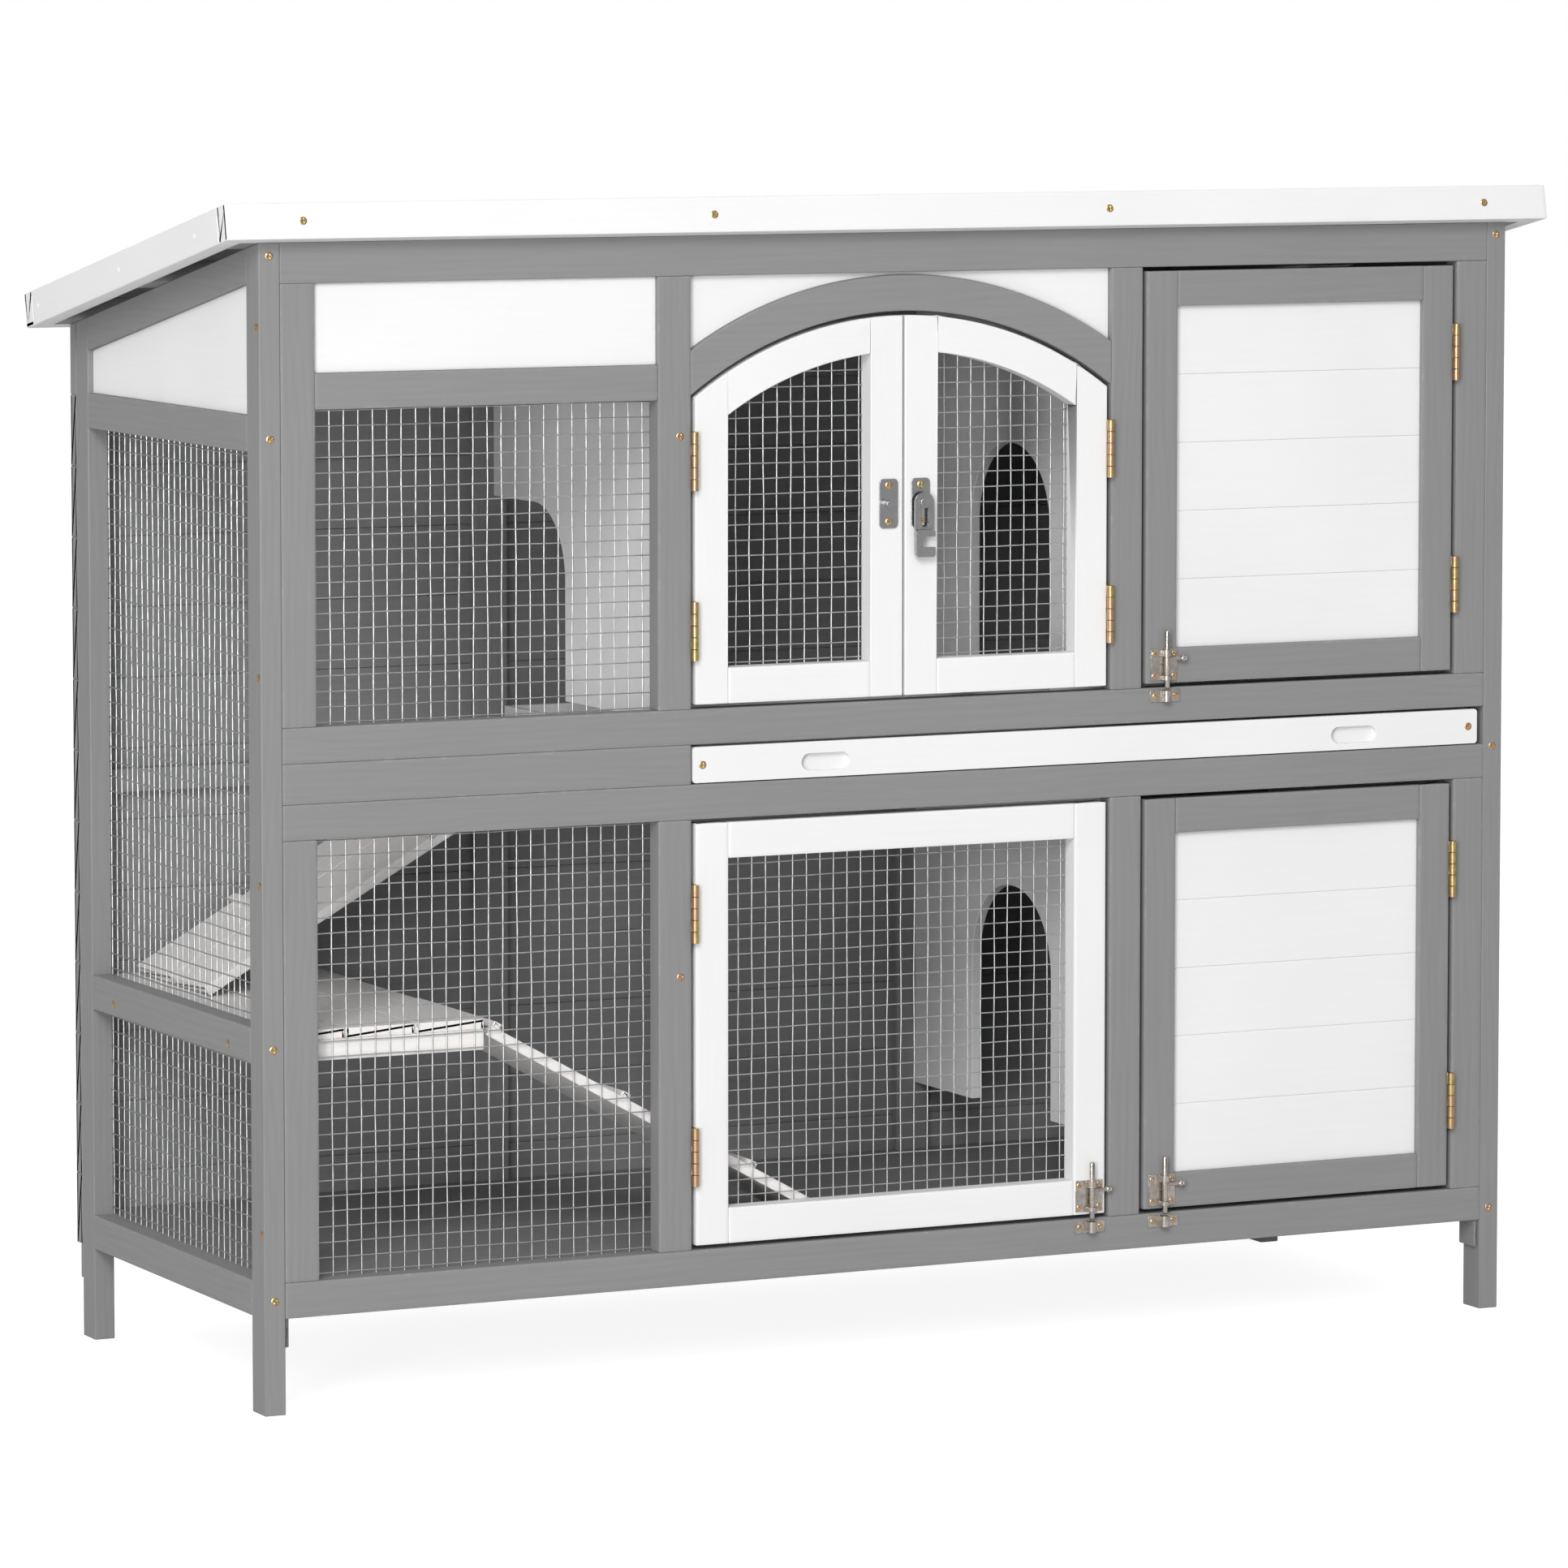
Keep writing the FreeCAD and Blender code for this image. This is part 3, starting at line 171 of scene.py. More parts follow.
def eased_board(lo, hi, ease):
    """A board with eased edges. Profile: a rectangle whose corners are quarter circles of radius e, with
    one more point a band's width along the flat on each side of every corner. It is carried along the
    longest side; near an end the radius falls as e sin t while it moves e(1 - cos t) from the end, for t
    from 0 to a right angle, and the end face has an inner ring a band's width in. Returns points, quads,
    caps and how worn each point may be: 1 on the arcs, 0 on the flats."""
    size = hi - lo
    axis = int(np.argmax(size))
    a, b = [k for k in range(3) if k != axis]
    e = min(ease, EASE_LIMIT * size.min())
    half_a, half_b = size[a] / 2 - e, size[b] / 2 - e
    band = min(EDGE_BAND, BAND_LIMIT * min(half_a, half_b))
    quarter = np.array([0, 0, 0.5, 1, 1]) * np.pi / 2
    angle = np.concatenate([quarter + k * np.pi / 2 for k in range(4)])
    slide = np.tile([-band, 0, 0, 0, band], 4)
    flat_worn = np.tile([0, 1, 1, 1, 0], 4)
    sign_a = np.repeat([1, -1, -1, 1], 5)
    sign_b = np.repeat([1, 1, -1, -1], 5)
    t = np.linspace(0, np.pi / 2, 3)
    radius = np.concatenate([[-band], e * np.sin(t), [e]])
    inward = np.concatenate([[0], e * (1 - np.cos(t)), [e + band]])
    ring_worn = np.array([0, 1, 1, 1, 0])
    radius = np.concatenate([radius, radius[::-1]])[:, None]
    along = np.concatenate([lo[axis] + inward, hi[axis] - inward[::-1]])
    pts = np.empty((len(along), len(angle), 3))
    pts[..., axis] = along[:, None]
    pts[..., a] = (lo[a] + hi[a]) / 2 + sign_a * half_a + radius * np.cos(angle) - slide * np.sin(angle)
    pts[..., b] = (lo[b] + hi[b]) / 2 + sign_b * half_b + radius * np.sin(angle) + slide * np.cos(angle)
    worn = np.maximum(np.concatenate([ring_worn, ring_worn[::-1]])[:, None], flat_worn[None, :])
    worn[0] = worn[-1] = 0
    rows, cols = pts.shape[:2]
    quads = grid_faces(rows, cols)
    caps = [list(range(cols))[::-1], [(rows - 1) * cols + k for k in range(cols)]]
    if axis == 1:
        quads = quads[:, ::-1]
        caps = [c[::-1] for c in caps]
    return pts.reshape(-1, 3), quads, caps, worn.reshape(-1)


def wire_tube(p0, p1, radius, sides, phase, wander):
    """A round wire from p0 to p1: circles of the given radius carried along the line, which strays from
    straight by two slow sine waves that fade to nothing at both ends, where it is stapled."""
    span = p1 - p0
    length = np.linalg.norm(span)
    d = span / length
    side = np.array([0, 0, 1.0]) if abs(d[2]) < 0.5 else np.array([1.0, 0, 0])
    if abs(d @ side) > 0.5:
        side = np.array([0, 1.0, 0])
    u = np.cross(d, side)
    u /= np.linalg.norm(u)
    v = np.cross(d, u)
    count = int(np.clip(length / WIRE_STEP, *WIRE_RINGS))
    s = np.linspace(0, 1, count + 1)
    fade = np.sin(np.pi * s) ** 0.5
    bend_u = wander * fade * np.sin(2 * np.pi * s * length / WAVE_LONG[0] + phase * WAVE_LONG[1])
    bend_v = wander * fade * np.sin(2 * np.pi * s * length / WAVE_SHORT[0] + phase * WAVE_SHORT[1])
    centre = p0 + s[:, None] * span + bend_u[:, None] * u + bend_v[:, None] * v
    t = np.linspace(0, 2 * np.pi, sides, endpoint=False)
    ring = radius * (np.cos(t)[:, None] * u + np.sin(t)[:, None] * v)
    pts = centre[:, None, :] + ring[None, :, :]
    caps = [list(range(sides))[::-1], [count * sides + k for k in range(sides)]]
    return pts.reshape(-1, 3), grid_faces(count + 1, sides), caps


def revolve(profile, origin, axis, sides=24):
    """A turned shape: profile rows are (radius, distance along the axis), swept through a full circle.
    A radius of zero at either end closes to a pole."""
    axis = np.asarray(axis, float)
    h = np.array([1.0, 0, 0]) if abs(axis[0]) < 0.9 else np.array([0, 0, 1.0])
    u = np.cross(h, axis)
    u /= np.linalg.norm(u)
    v = np.cross(axis, u)
    t = np.linspace(0, 2 * np.pi, sides, endpoint=False)
    ring = np.cos(t)[:, None] * u + np.sin(t)[:, None] * v
    prof = np.asarray(profile, float)
    pts = np.asarray(origin) + prof[:, None, :1] * ring[None] + prof[:, None, 1:] * axis[None, None]
    quads = grid_faces(len(prof), sides)
    caps = [list(range(sides))[::-1], [(len(prof) - 1) * sides + k for k in range(sides)]]
    return pts.reshape(-1, 3), quads, caps


def screw_head(origin, out, radius, height, turn):
    """A cross-slotted screw head. With r as a share of the radius, its height over the face is the given
    height times 1 - HEAD_FALL r^4, less CROSS_DEPTH times the mask of the cross. An arm's mask is
    1 - (x / CROSS_ARM)^4, x being the distance from its middle line; the cross is turned by the given
    angle and runs out to nothing at CROSS_REACH."""
    out = np.asarray(out, float)
    h = np.array([1.0, 0, 0]) if abs(out[0]) < 0.9 else np.array([0, 0, 1.0])
    u = np.cross(h, out)
    u /= np.linalg.norm(u)
    v = np.cross(out, u)
    r = np.linspace(HEAD_HOLE, 1.0, HEAD_RINGS)[:, None]
    t = np.linspace(0, 2 * np.pi, HEAD_SIDES, endpoint=False)[None]
    rise = (1 - HEAD_FALL * r ** 4) * np.ones_like(t)
    x, y = r * np.cos(t + turn), r * np.sin(t + turn)
    arm = np.maximum(np.clip(1 - (x / CROSS_ARM) ** 4, 0, 1), np.clip(1 - (y / CROSS_ARM) ** 4, 0, 1))
    rise = rise - CROSS_DEPTH * arm * np.clip((CROSS_REACH - r) / CROSS_FADE, 0, 1)
    across = (r * np.cos(t))[..., None] * u * radius + (r * np.sin(t))[..., None] * v * radius
    top = across + rise[..., None] * out * height
    low = (np.cos(t[0])[:, None] * u + np.sin(t[0])[:, None] * v) * radius - out * SEAT_DEPTH
    pts = np.concatenate([top.reshape(-1, 3), low]) + np.asarray(origin)
    quads = grid_faces(HEAD_RINGS + 1, HEAD_SIDES)
    caps = [list(range(HEAD_SIDES))[::-1], [HEAD_RINGS * HEAD_SIDES + k for k in range(HEAD_SIDES)]]
    return pts, quads, caps


class Gather:
    """Collects pieces of surface into one mesh, with a grain map in metres and a worn-edge value."""

    def __init__(self):
        """Starts with nothing in it."""
        self.points, self.faces, self.grain, self.worn, self.count = [], [], [], [], 0

    def add(self, pts, quads, caps=(), worn=None, seed=0, axes=None):
        """Adds one piece. Its points lie in its own axes, whose rows are given by axes; its grain runs
        along the longest and starts further on by GRAIN_STEP times the seed."""
        faces = [tuple(int(k) + self.count for k in f) for f in quads.tolist()]
        faces += [tuple(int(k) + self.count for k in c) for c in caps]
        self.faces += faces
        long_axis = int(np.argmax(np.ptp(pts, axis=0)))
        a, b = [k for k in range(3) if k != long_axis]
        along = pts[:, long_axis] + seed * GRAIN_STEP[0]
        self.grain.append(np.stack([along, pts[:, a] + pts[:, b] + seed * GRAIN_STEP[1]], 1))
        self.points.append(pts if axes is None else pts @ axes)
        self.worn.append(np.zeros(len(pts)) if worn is None else worn.astype(float))
        self.count += len(pts)

    def build(self, name):
        """Makes one object of all that was added, with the grain as a UV map and wear as an attribute."""
        mesh = bpy.data.meshes.new(name)
        mesh.from_pydata(np.concatenate(self.points).tolist(), [], self.faces)
        grain = np.concatenate(self.grain)
        layer = mesh.uv_layers.new(name="grain")
        index = np.empty(len(mesh.loops), int)
        mesh.loops.foreach_get("vertex_index", index)
        layer.data.foreach_set("uv", grain[index].reshape(-1))
        edge = mesh.attributes.new("edge", "FLOAT", "POINT")
        edge.data.foreach_set("value", np.concatenate(self.worn))
        mesh.update()
        obj = bpy.data.objects.new(name, mesh)
        bpy.context.scene.collection.objects.link(obj)
        return obj


def outward(obj):
    """Merges doubles and turns every face outwards."""
    bm = bmesh.new()
    bm.from_mesh(obj.data)
    bmesh.ops.remove_doubles(bm, verts=bm.verts, dist=1e-6)
    bmesh.ops.recalc_face_normals(bm, faces=bm.faces)
    bm.to_mesh(obj.data)
    bm.free()


def settle(obj, node, material):
    """Gives a piece its finish and puts it in place of its CAD node."""
    obj.data.materials.clear()
    obj.data.materials.append(material)
    obj.data.shade_smooth()
    obj.data.set_sharp_from_angle(angle=math.radians(SMOOTH_ANGLE))
    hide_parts(node)
    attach(obj, BODY[node])


def bevel(obj, width):
    """Rounds every edge sharper than BEVEL_ANGLE over the given width."""
    mod = obj.modifiers.new("eased edges", "BEVEL")
    mod.width = width
    mod.segments = BEVEL_SEGMENTS
    mod.limit_method = "ANGLE"
    mod.angle_limit = math.radians(BEVEL_ANGLE)


def wooden(node, material, ease):
    """Every solid of a node as an eased board where it is a plain box, in its CAD form where it isn't."""
    boards, shapes = Gather(), Gather()
    first_seed = sum(ord(c) for c in node) % SEED_COUNT
    for k, (pts, tris) in enumerate(solids(node)):
        axes = board_axes(pts)
        if axes is None:
            shapes.add(pts, tris, seed=first_seed + k)
            continue
        turned = pts @ axes.T
        points, quads, caps, worn = eased_board(turned.min(0), turned.max(0), ease)
        boards.add(points, quads, caps, worn, first_seed + k, axes)
    if boards.count:
        settle(boards.build(node + "_boards"), node, material)
    if shapes.count:
        obj = shapes.build(node + "_shapes")
        outward(obj)
        dissolve(obj)
        bevel(obj, ease * SHAPE_EASE)
        settle(obj, node, material)


def dissolve(obj):
    """Joins triangles that lie in one plane, so that only real edges are eased."""
    bm = bmesh.new()
    bm.from_mesh(obj.data)
    bmesh.ops.dissolve_limit(bm, angle_limit=math.radians(FLAT_ANGLE), verts=bm.verts, edges=bm.edges,
                             delimit={"NORMAL"})
    bm.to_mesh(obj.data)
    bm.free()


# ---- shared shader groups ------------------------------------------------------------------
def group(name, inputs, outputs):
    """An empty shader node group with named sockets."""
    tree = bpy.data.node_groups.new(name, "ShaderNodeTree")
    for label, kind, value in inputs:
        s = tree.interface.new_socket(name=label, in_out="INPUT", socket_type=kind)
        if value is not None:
            s.default_value = value
    for label, kind in outputs:
        tree.interface.new_socket(name=label, in_out="OUTPUT", socket_type=kind)
    gin = tree.nodes.new("NodeGroupInput")
    gout = tree.nodes.new("NodeGroupOutput")
    return tree, gin, gout


def link(tree, a, b):
    """Joins output a to input b."""
    tree.links.new(a, b)


def mix_colour(tree, fac, a, b):
    """Colour a + fac (b - a)."""
    n = tree.nodes.new("ShaderNodeMix")
    n.data_type = "RGBA"
    for sock, val in ((n.inputs["Factor"], fac), (n.inputs[6], a), (n.inputs[7], b)):
        if hasattr(val, "links"):
            link(tree, val, sock)
        else:
            sock.default_value = val
    return n.outputs[2]


def value(tree, op, a, b=None, c=None, clamp=False):
    """The sum, product or other operation named by op on a, b and c, each a number or a socket."""
    n = tree.nodes.new("ShaderNodeMath")
    n.operation = op
    n.use_clamp = clamp
    for k, val in enumerate((a, b, c)):
        if val is None:
            continue
        if hasattr(val, "links"):
            link(tree, val, n.inputs[k])
        else:
            n.inputs[k].default_value = val
    return n.outputs[0]


def remap(tree, val, a, b, c, d):
    """Takes a to c and b to d in a straight line, held at c and d beyond them."""
    n = tree.nodes.new("ShaderNodeMapRange")
    n.clamp = True
    link(tree, val, n.inputs[0])
    for k, x in zip((1, 2, 3, 4), (a, b, c, d)):
        if hasattr(x, "links"):
            link(tree, x, n.inputs[k])
        else:
            n.inputs[k].default_value = x
    return n.outputs[0]


def wood_grain_group():
    """Grain of sawn softwood on a map in metres: long streaks from noise stretched along the board,
    growth lines from a wave bent by noise, and a few knots."""
    tree, gin, gout = group("wood grain", [
        ("Map", "NodeSocketVector", None), ("Streak Scale", "NodeSocketFloat", 220.0),
        ("Stretch", "NodeSocketFloat", 0.045), ("Knots", "NodeSocketFloat", 0.3)],
        [("Streaks", "NodeSocketFloat"), ("Lines", "NodeSocketFloat"),
         ("Knot Mask", "NodeSocketFloat"), ("Height", "NodeSocketFloat")])
    sep = tree.nodes.new("ShaderNodeSeparateXYZ")
    link(tree, gin.outputs["Map"], sep.inputs[0])
    comb = tree.nodes.new("ShaderNodeCombineXYZ")
    link(tree, value(tree, "MULTIPLY", sep.outputs[0], gin.outputs["Stretch"]), comb.inputs[0])
    link(tree, sep.outputs[1], comb.inputs[1])
    fine = tree.nodes.new("ShaderNodeTexNoise")
    fine.inputs["Detail"].default_value = 6
    fine.inputs["Roughness"].default_value = 0.65
    link(tree, comb.outputs[0], fine.inputs["Vector"])
    link(tree, gin.outputs["Streak Scale"], fine.inputs["Scale"])
    # slow bend of the growth lines
    bend = tree.nodes.new("ShaderNodeTexNoise")
    bend.inputs["Scale"].default_value = 9
    bend.inputs["Detail"].default_value = 2
    comb2 = tree.nodes.new("ShaderNodeCombineXYZ")
    link(tree, value(tree, "MULTIPLY", sep.outputs[0], 0.25), comb2.inputs[0])
    link(tree, sep.outputs[1], comb2.inputs[1])
    link(tree, comb2.outputs[0], bend.inputs["Vector"])
    across = value(tree, "ADD", sep.outputs[1], value(tree, "MULTIPLY", bend.outputs[0], 0.05))
    wave = value(tree, "SINE", value(tree, "MULTIPLY", across, 900.0))
    lines = remap(tree, wave, -0.2, 1.0, 0.0, 1.0)
    # knots: small dark cells far apart
    knot_map = tree.nodes.new("ShaderNodeCombineXYZ")
    link(tree, value(tree, "MULTIPLY", sep.outputs[0], 0.6), knot_map.inputs[0])
    link(tree, sep.outputs[1], knot_map.inputs[1])
    cell = tree.nodes.new("ShaderNodeTexVoronoi")
    cell.inputs["Scale"].default_value = 9
    link(tree, knot_map.outputs[0], cell.inputs["Vector"])
    knot = remap(tree, cell.outputs["Distance"], 0.03, 0.07, 1.0, 0.0)
    knot = value(tree, "MULTIPLY", knot, gin.outputs["Knots"])
    streak_height = value(tree, "MULTIPLY", fine.outputs[0], 0.7)
    height = value(tree, "ADD", streak_height, value(tree, "MULTIPLY", lines, 0.3))
    link(tree, fine.outputs[0], gout.inputs["Streaks"])
    link(tree, lines, gout.inputs["Lines"])
    link(tree, knot, gout.inputs["Knot Mask"])
    link(tree, height, gout.inputs["Height"])
    return tree


def edge_wear_group():
    """Mask of worn edges: the piece's edge value, broken into nicks by noise."""
    tree, gin, gout = group("edge wear", [
        ("Edge", "NodeSocketFloat", 0.0), ("Amount", "NodeSocketFloat", 0.5),
        ("Patch Scale", "NodeSocketFloat", 60.0)], [("Mask", "NodeSocketFloat")])
    tex = tree.nodes.new("ShaderNodeTexCoord")
    noise = tree.nodes.new("ShaderNodeTexNoise")
    noise.inputs["Detail"].default_value = 5
    noise.inputs["Roughness"].default_value = 0.7
    link(tree, tex.outputs["Object"], noise.inputs["Vector"])
    link(tree, gin.outputs["Patch Scale"], noise.inputs["Scale"])
    edge = remap(tree, gin.outputs["Edge"], 0.35, 1.0, 0.0, 1.0)
    patch = remap(tree, noise.outputs[0], 0.54, 0.66, 0.0, 1.0)
    mask = value(tree, "MULTIPLY", value(tree, "MULTIPLY", edge, patch), gin.outputs["Amount"], clamp=True)
    link(tree, mask, gout.inputs["Mask"])
    return tree


def soft_dirt_group():
    """Large soft variation of tone: 1 + Depth times a slow noise less one half."""
    tree, gin, gout = group("tone drift", [
        ("Scale", "NodeSocketFloat", 5.0), ("Depth", "NodeSocketFloat", 0.1)],
        [("Factor", "NodeSocketFloat")])
    tex = tree.nodes.new("ShaderNodeTexCoord")
    noise = tree.nodes.new("ShaderNodeTexNoise")
    noise.inputs["Detail"].default_value = 3
    link(tree, tex.outputs["Object"], noise.inputs["Vector"])
    link(tree, gin.outputs["Scale"], noise.inputs["Scale"])
    swing = value(tree, "SUBTRACT", noise.outputs[0], 0.5)
    f = value(tree, "MULTIPLY_ADD", swing, gin.outputs["Depth"], 1.0)
    link(tree, f, gout.inputs["Factor"])
    return tree


GROUPS = {}


def shared(name, maker):
    """The node group of that name, made the first time it is asked for."""
    if name not in GROUPS:
        GROUPS[name] = maker()
    return GROUPS[name]


def place(tree, group_tree, **values):
    """A node that stands for a group, with the named inputs set; an underscore stands for a space."""
    n = tree.nodes.new("ShaderNodeGroup")
    n.node_tree = group_tree
    for k, v in values.items():
        n.inputs[k.replace("_", " ")].default_value = v
    return n


def start_material(name):
    """A material with one shader joined to its output."""
    mat = bpy.data.materials.new(name)
    mat.use_nodes = True
    tree = mat.node_tree
    tree.nodes.clear()
    out = tree.nodes.new("ShaderNodeOutputMaterial")
    bsdf = tree.nodes.new("ShaderNodeBsdfPrincipled")
    link(tree, bsdf.outputs[0], out.inputs[0])
    return mat, tree, bsdf


def painted_wood(name, colour, show, rough, streak, wear, under, knots, bump):
    """Thin paint over softwood. The paint darkens by the share streak where 0.6 times the streaks plus
    show times the growth lines is one, and the under colour stands at worn edges. Roughness follows the
    streaks about the given value."""
    mat, tree, bsdf = start_material(name)
    uv = tree.nodes.new("ShaderNodeUVMap")
    uv.uv_map = "grain"
    g = place(tree, shared("wood grain", wood_grain_group), Knots=knots)
    link(tree, uv.outputs[0], g.inputs["Map"])
    drift = place(tree, shared("tone drift", soft_dirt_group), Scale=6.0, Depth=0.10)
    worn = place(tree, shared("edge wear", edge_wear_group), Amount=wear, Patch_Scale=70.0)
    edge = tree.nodes.new("ShaderNodeAttribute")
    edge.attribute_name = "edge"
    link(tree, edge.outputs["Fac"], worn.inputs["Edge"])
    base = (*colour, 1.0)
    dark = tuple(c * (1 - streak) for c in colour) + (1.0,)
    lines = value(tree, "MULTIPLY", g.outputs["Lines"], show)
    streaks = remap(tree, g.outputs["Streaks"], 0.35, 0.65, 0.0, 1.0)
    fac = value(tree, "ADD", value(tree, "MULTIPLY", streaks, 0.6), lines, clamp=True)
    col = mix_colour(tree, fac, base, dark)
    col = mix_colour(tree, g.outputs["Knot Mask"], col, tuple(c * 0.72 for c in colour) + (1.0,))
    scale = tree.nodes.new("ShaderNodeVectorMath")
    scale.operation = "SCALE"
    link(tree, col, scale.inputs[0])
    link(tree, drift.outputs[0], scale.inputs["Scale"])
    col = mix_colour(tree, worn.outputs["Mask"], scale.outputs[0], (*under, 1.0))
    link(tree, col, bsdf.inputs["Base Color"])
    shine = remap(tree, g.outputs["Streaks"], 0.3, 0.7, rough - 0.06, rough + 0.08)
    link(tree, shine, bsdf.inputs["Roughness"])
    b = tree.nodes.new("ShaderNodeBump")
    b.inputs["Strength"].default_value = bump
    b.inputs["Distance"].default_value = 0.0006
    link(tree, g.outputs["Height"], b.inputs["Height"])
    link(tree, b.outputs[0], bsdf.inputs["Normal"])
    return mat


def plain_metal(name, colour, rough, dark, scale, tint=None):
    """Plated metal with cloudy patches of tone and roughness, and slow patches of a second tint."""
    mat, tree, bsdf = start_material(name)
    tex = tree.nodes.new("ShaderNodeTexCoord")
    noise = tree.nodes.new("ShaderNodeTexNoise")
    noise.inputs["Scale"].default_value = scale
    noise.inputs["Detail"].default_value = 5
    link(tree, tex.outputs["Object"], noise.inputs["Vector"])
    f = remap(tree, noise.outputs[0], 0.35, 0.68, 0.0, 1.0)
    col = mix_colour(tree, f, (*colour, 1.0), tuple(c * (1 - dark) for c in colour) + (1.0,))
    if tint is not None:
        cloud = tree.nodes.new("ShaderNodeTexNoise")
        cloud.inputs["Scale"].default_value = 34.0
        link(tree, tex.outputs["Object"], cloud.inputs["Vector"])
        col = mix_colour(tree, remap(tree, cloud.outputs[0], 0.42, 0.60, 0.0, 0.75), col, (*tint, 1.0))
    link(tree, col, bsdf.inputs["Base Color"])
    bsdf.inputs["Metallic"].default_value = 1.0
    link(tree, remap(tree, noise.outputs[0], 0.3, 0.7, rough, rough + 0.14), bsdf.inputs["Roughness"])
    b = tree.nodes.new("ShaderNodeBump")
    b.inputs["Strength"].default_value = 0.05
    b.inputs["Distance"].default_value = 0.0002
    link(tree, noise.outputs[0], b.inputs["Height"])
    link(tree, b.outputs[0], bsdf.inputs["Normal"])
    return mat


def mineral_felt(name, colour):
    """Bitumen felt with a coat of fine stone chips: small cells of differing tone, standing up a little."""
    mat, tree, bsdf = start_material(name)
    tex = tree.nodes.new("ShaderNodeTexCoord")
    cell = tree.nodes.new("ShaderNodeTexVoronoi")
    cell.inputs["Scale"].default_value = 900
    link(tree, tex.outputs["Object"], cell.inputs["Vector"])
    sep = tree.nodes.new("ShaderNodeSeparateColor")
    link(tree, cell.outputs["Color"], sep.inputs[0])
    dark = tuple(c * 0.6 for c in colour) + (1.0,)
    pale = tuple(min(1, c * 1.9) for c in colour) + (1.0,)
    col = mix_colour(tree, sep.outputs[0], dark, pale)
    link(tree, col, bsdf.inputs["Base Color"])
    bsdf.inputs["Roughness"].default_value = 0.9
    b = tree.nodes.new("ShaderNodeBump")
    b.inputs["Strength"].default_value = 0.6
    b.inputs["Distance"].default_value = 0.0008
    link(tree, cell.outputs["Distance"], b.inputs["Height"])
    link(tree, b.outputs[0], bsdf.inputs["Normal"])
    return mat


# ---- settings ------------------------------------------------------------------------------
class HutchFinish(PropertyGroup):
    """Sizes and colours of the hutch's finish."""
    grey_paint: FloatVectorProperty(
        name="Grey paint", description="Colour of the frames and roof edge",
        subtype="COLOR", default=(0.232, 0.232, 0.234), min=0, max=1)
    white_paint: FloatVectorProperty(
        name="White paint", description="Colour of the doors' panels and inner walls",
        subtype="COLOR", default=(0.76, 0.76, 0.76), min=0, max=1)
    worn_white: FloatVectorProperty(
        name="Worn white", description="Colour of the ramps and the platform",
        subtype="COLOR", default=(0.77, 0.75, 0.735), min=0, max=1)
    board_ease: FloatProperty(
        name="Eased edge", description="Radius of the boards' edges",
        default=0.0009, min=0.0002, max=0.003, unit="LENGTH", precision=4)
    plank_ease: FloatProperty(
        name="Plank edge", description="Radius of the edges of the narrow planks",
        default=0.0002, min=0.0001, max=0.003, unit="LENGTH", precision=4)


class HutchWire(PropertyGroup):
    """Sizes of the welded mesh."""
    thickness: FloatProperty(
        name="Wire", description="Diameter of the mesh wires",
        default=0.0011, min=0.0006, max=0.003, unit="LENGTH", precision=4)
    sides: IntProperty(
        name="Sides", description="Sides of each round wire",
        default=6, min=5, max=16)
    colour: FloatVectorProperty(
        name="Zinc", description="Colour of the galvanised wire",
        subtype="COLOR", default=(0.58, 0.59, 0.60), min=0, max=1)


class HutchStudio(PropertyGroup):
    """Floor, lights and surround."""
    floor: FloatVectorProperty(
        name="Floor", description="Colour of the floor",
        subtype="COLOR", default=(0.75, 0.75, 0.75), min=0, max=1)
    key_power: FloatProperty(
        name="Key light", description="Power of the large front light",
        default=1020.0, min=0, max=3000, unit="POWER")
    fill_power: FloatProperty(
        name="Fill light", description="Power of the side light",
        default=105.0, min=0, max=3000, unit="POWER")
    sky: FloatProperty(
        name="Sky", description="Strength of the surround overhead",
        default=0.75, min=0, max=4)


BRASS_COLOUR = (0.66, 0.50, 0.22)
BRASS_TINT = (0.60, 0.36, 0.24)
NICKEL_COLOUR = (0.60, 0.55, 0.50)
CHROME_COLOUR = (0.50, 0.50, 0.51)
FELT_COLOUR = (0.06, 0.06, 0.065)
GREY_UNDER = (0.55, 0.53, 0.50)     # what shows at the worn edges of each paint
WHITE_UNDER = (0.74, 0.66, 0.60)
WORN_UNDER = (0.70, 0.50, 0.43)
MATERIALS = {}


def finish_of(name):
    """The material of that name, made from the scene's settings the first time it is asked for."""
    s = bpy.context.scene.hutch_finish
    w = bpy.context.scene.hutch_wire
    if name not in MATERIALS:
        makers = {
            "grey": lambda: painted_wood("grey painted wood", tuple(s.grey_paint), 0.22, 0.62, streak=0.10,
                                         wear=0.12, under=GREY_UNDER, knots=0.12, bump=0.2),
            "white": lambda: painted_wood("white painted wood", tuple(s.white_paint), 0.12, 0.6,
                                          streak=0.022, wear=0.12, under=WHITE_UNDER, knots=0.06,
                                          bump=0.07),
            "worn": lambda: painted_wood("worn white wash", tuple(s.worn_white), 0.4, 0.72, streak=0.09,
                                         wear=0.8, under=WORN_UNDER, knots=0.5, bump=0.3),
            "wire": lambda: plain_metal("galvanised wire", tuple(w.colour), 0.38, dark=0.25, scale=90.0),
            "brass": lambda: plain_metal("yellow passivated steel", BRASS_COLOUR, 0.28, dark=0.35,
                                         scale=260.0, tint=BRASS_TINT),
            "nickel": lambda: plain_metal("nickel plate", NICKEL_COLOUR, 0.20, dark=0.3, scale=200.0),
            "chrome": lambda: plain_metal("dull chrome", CHROME_COLOUR, 0.22, dark=0.15, scale=140.0),
            "felt": lambda: mineral_felt("mineral felt", FELT_COLOUR),
        }
        MATERIALS[name] = makers[name]()
    return MATERIALS[name]


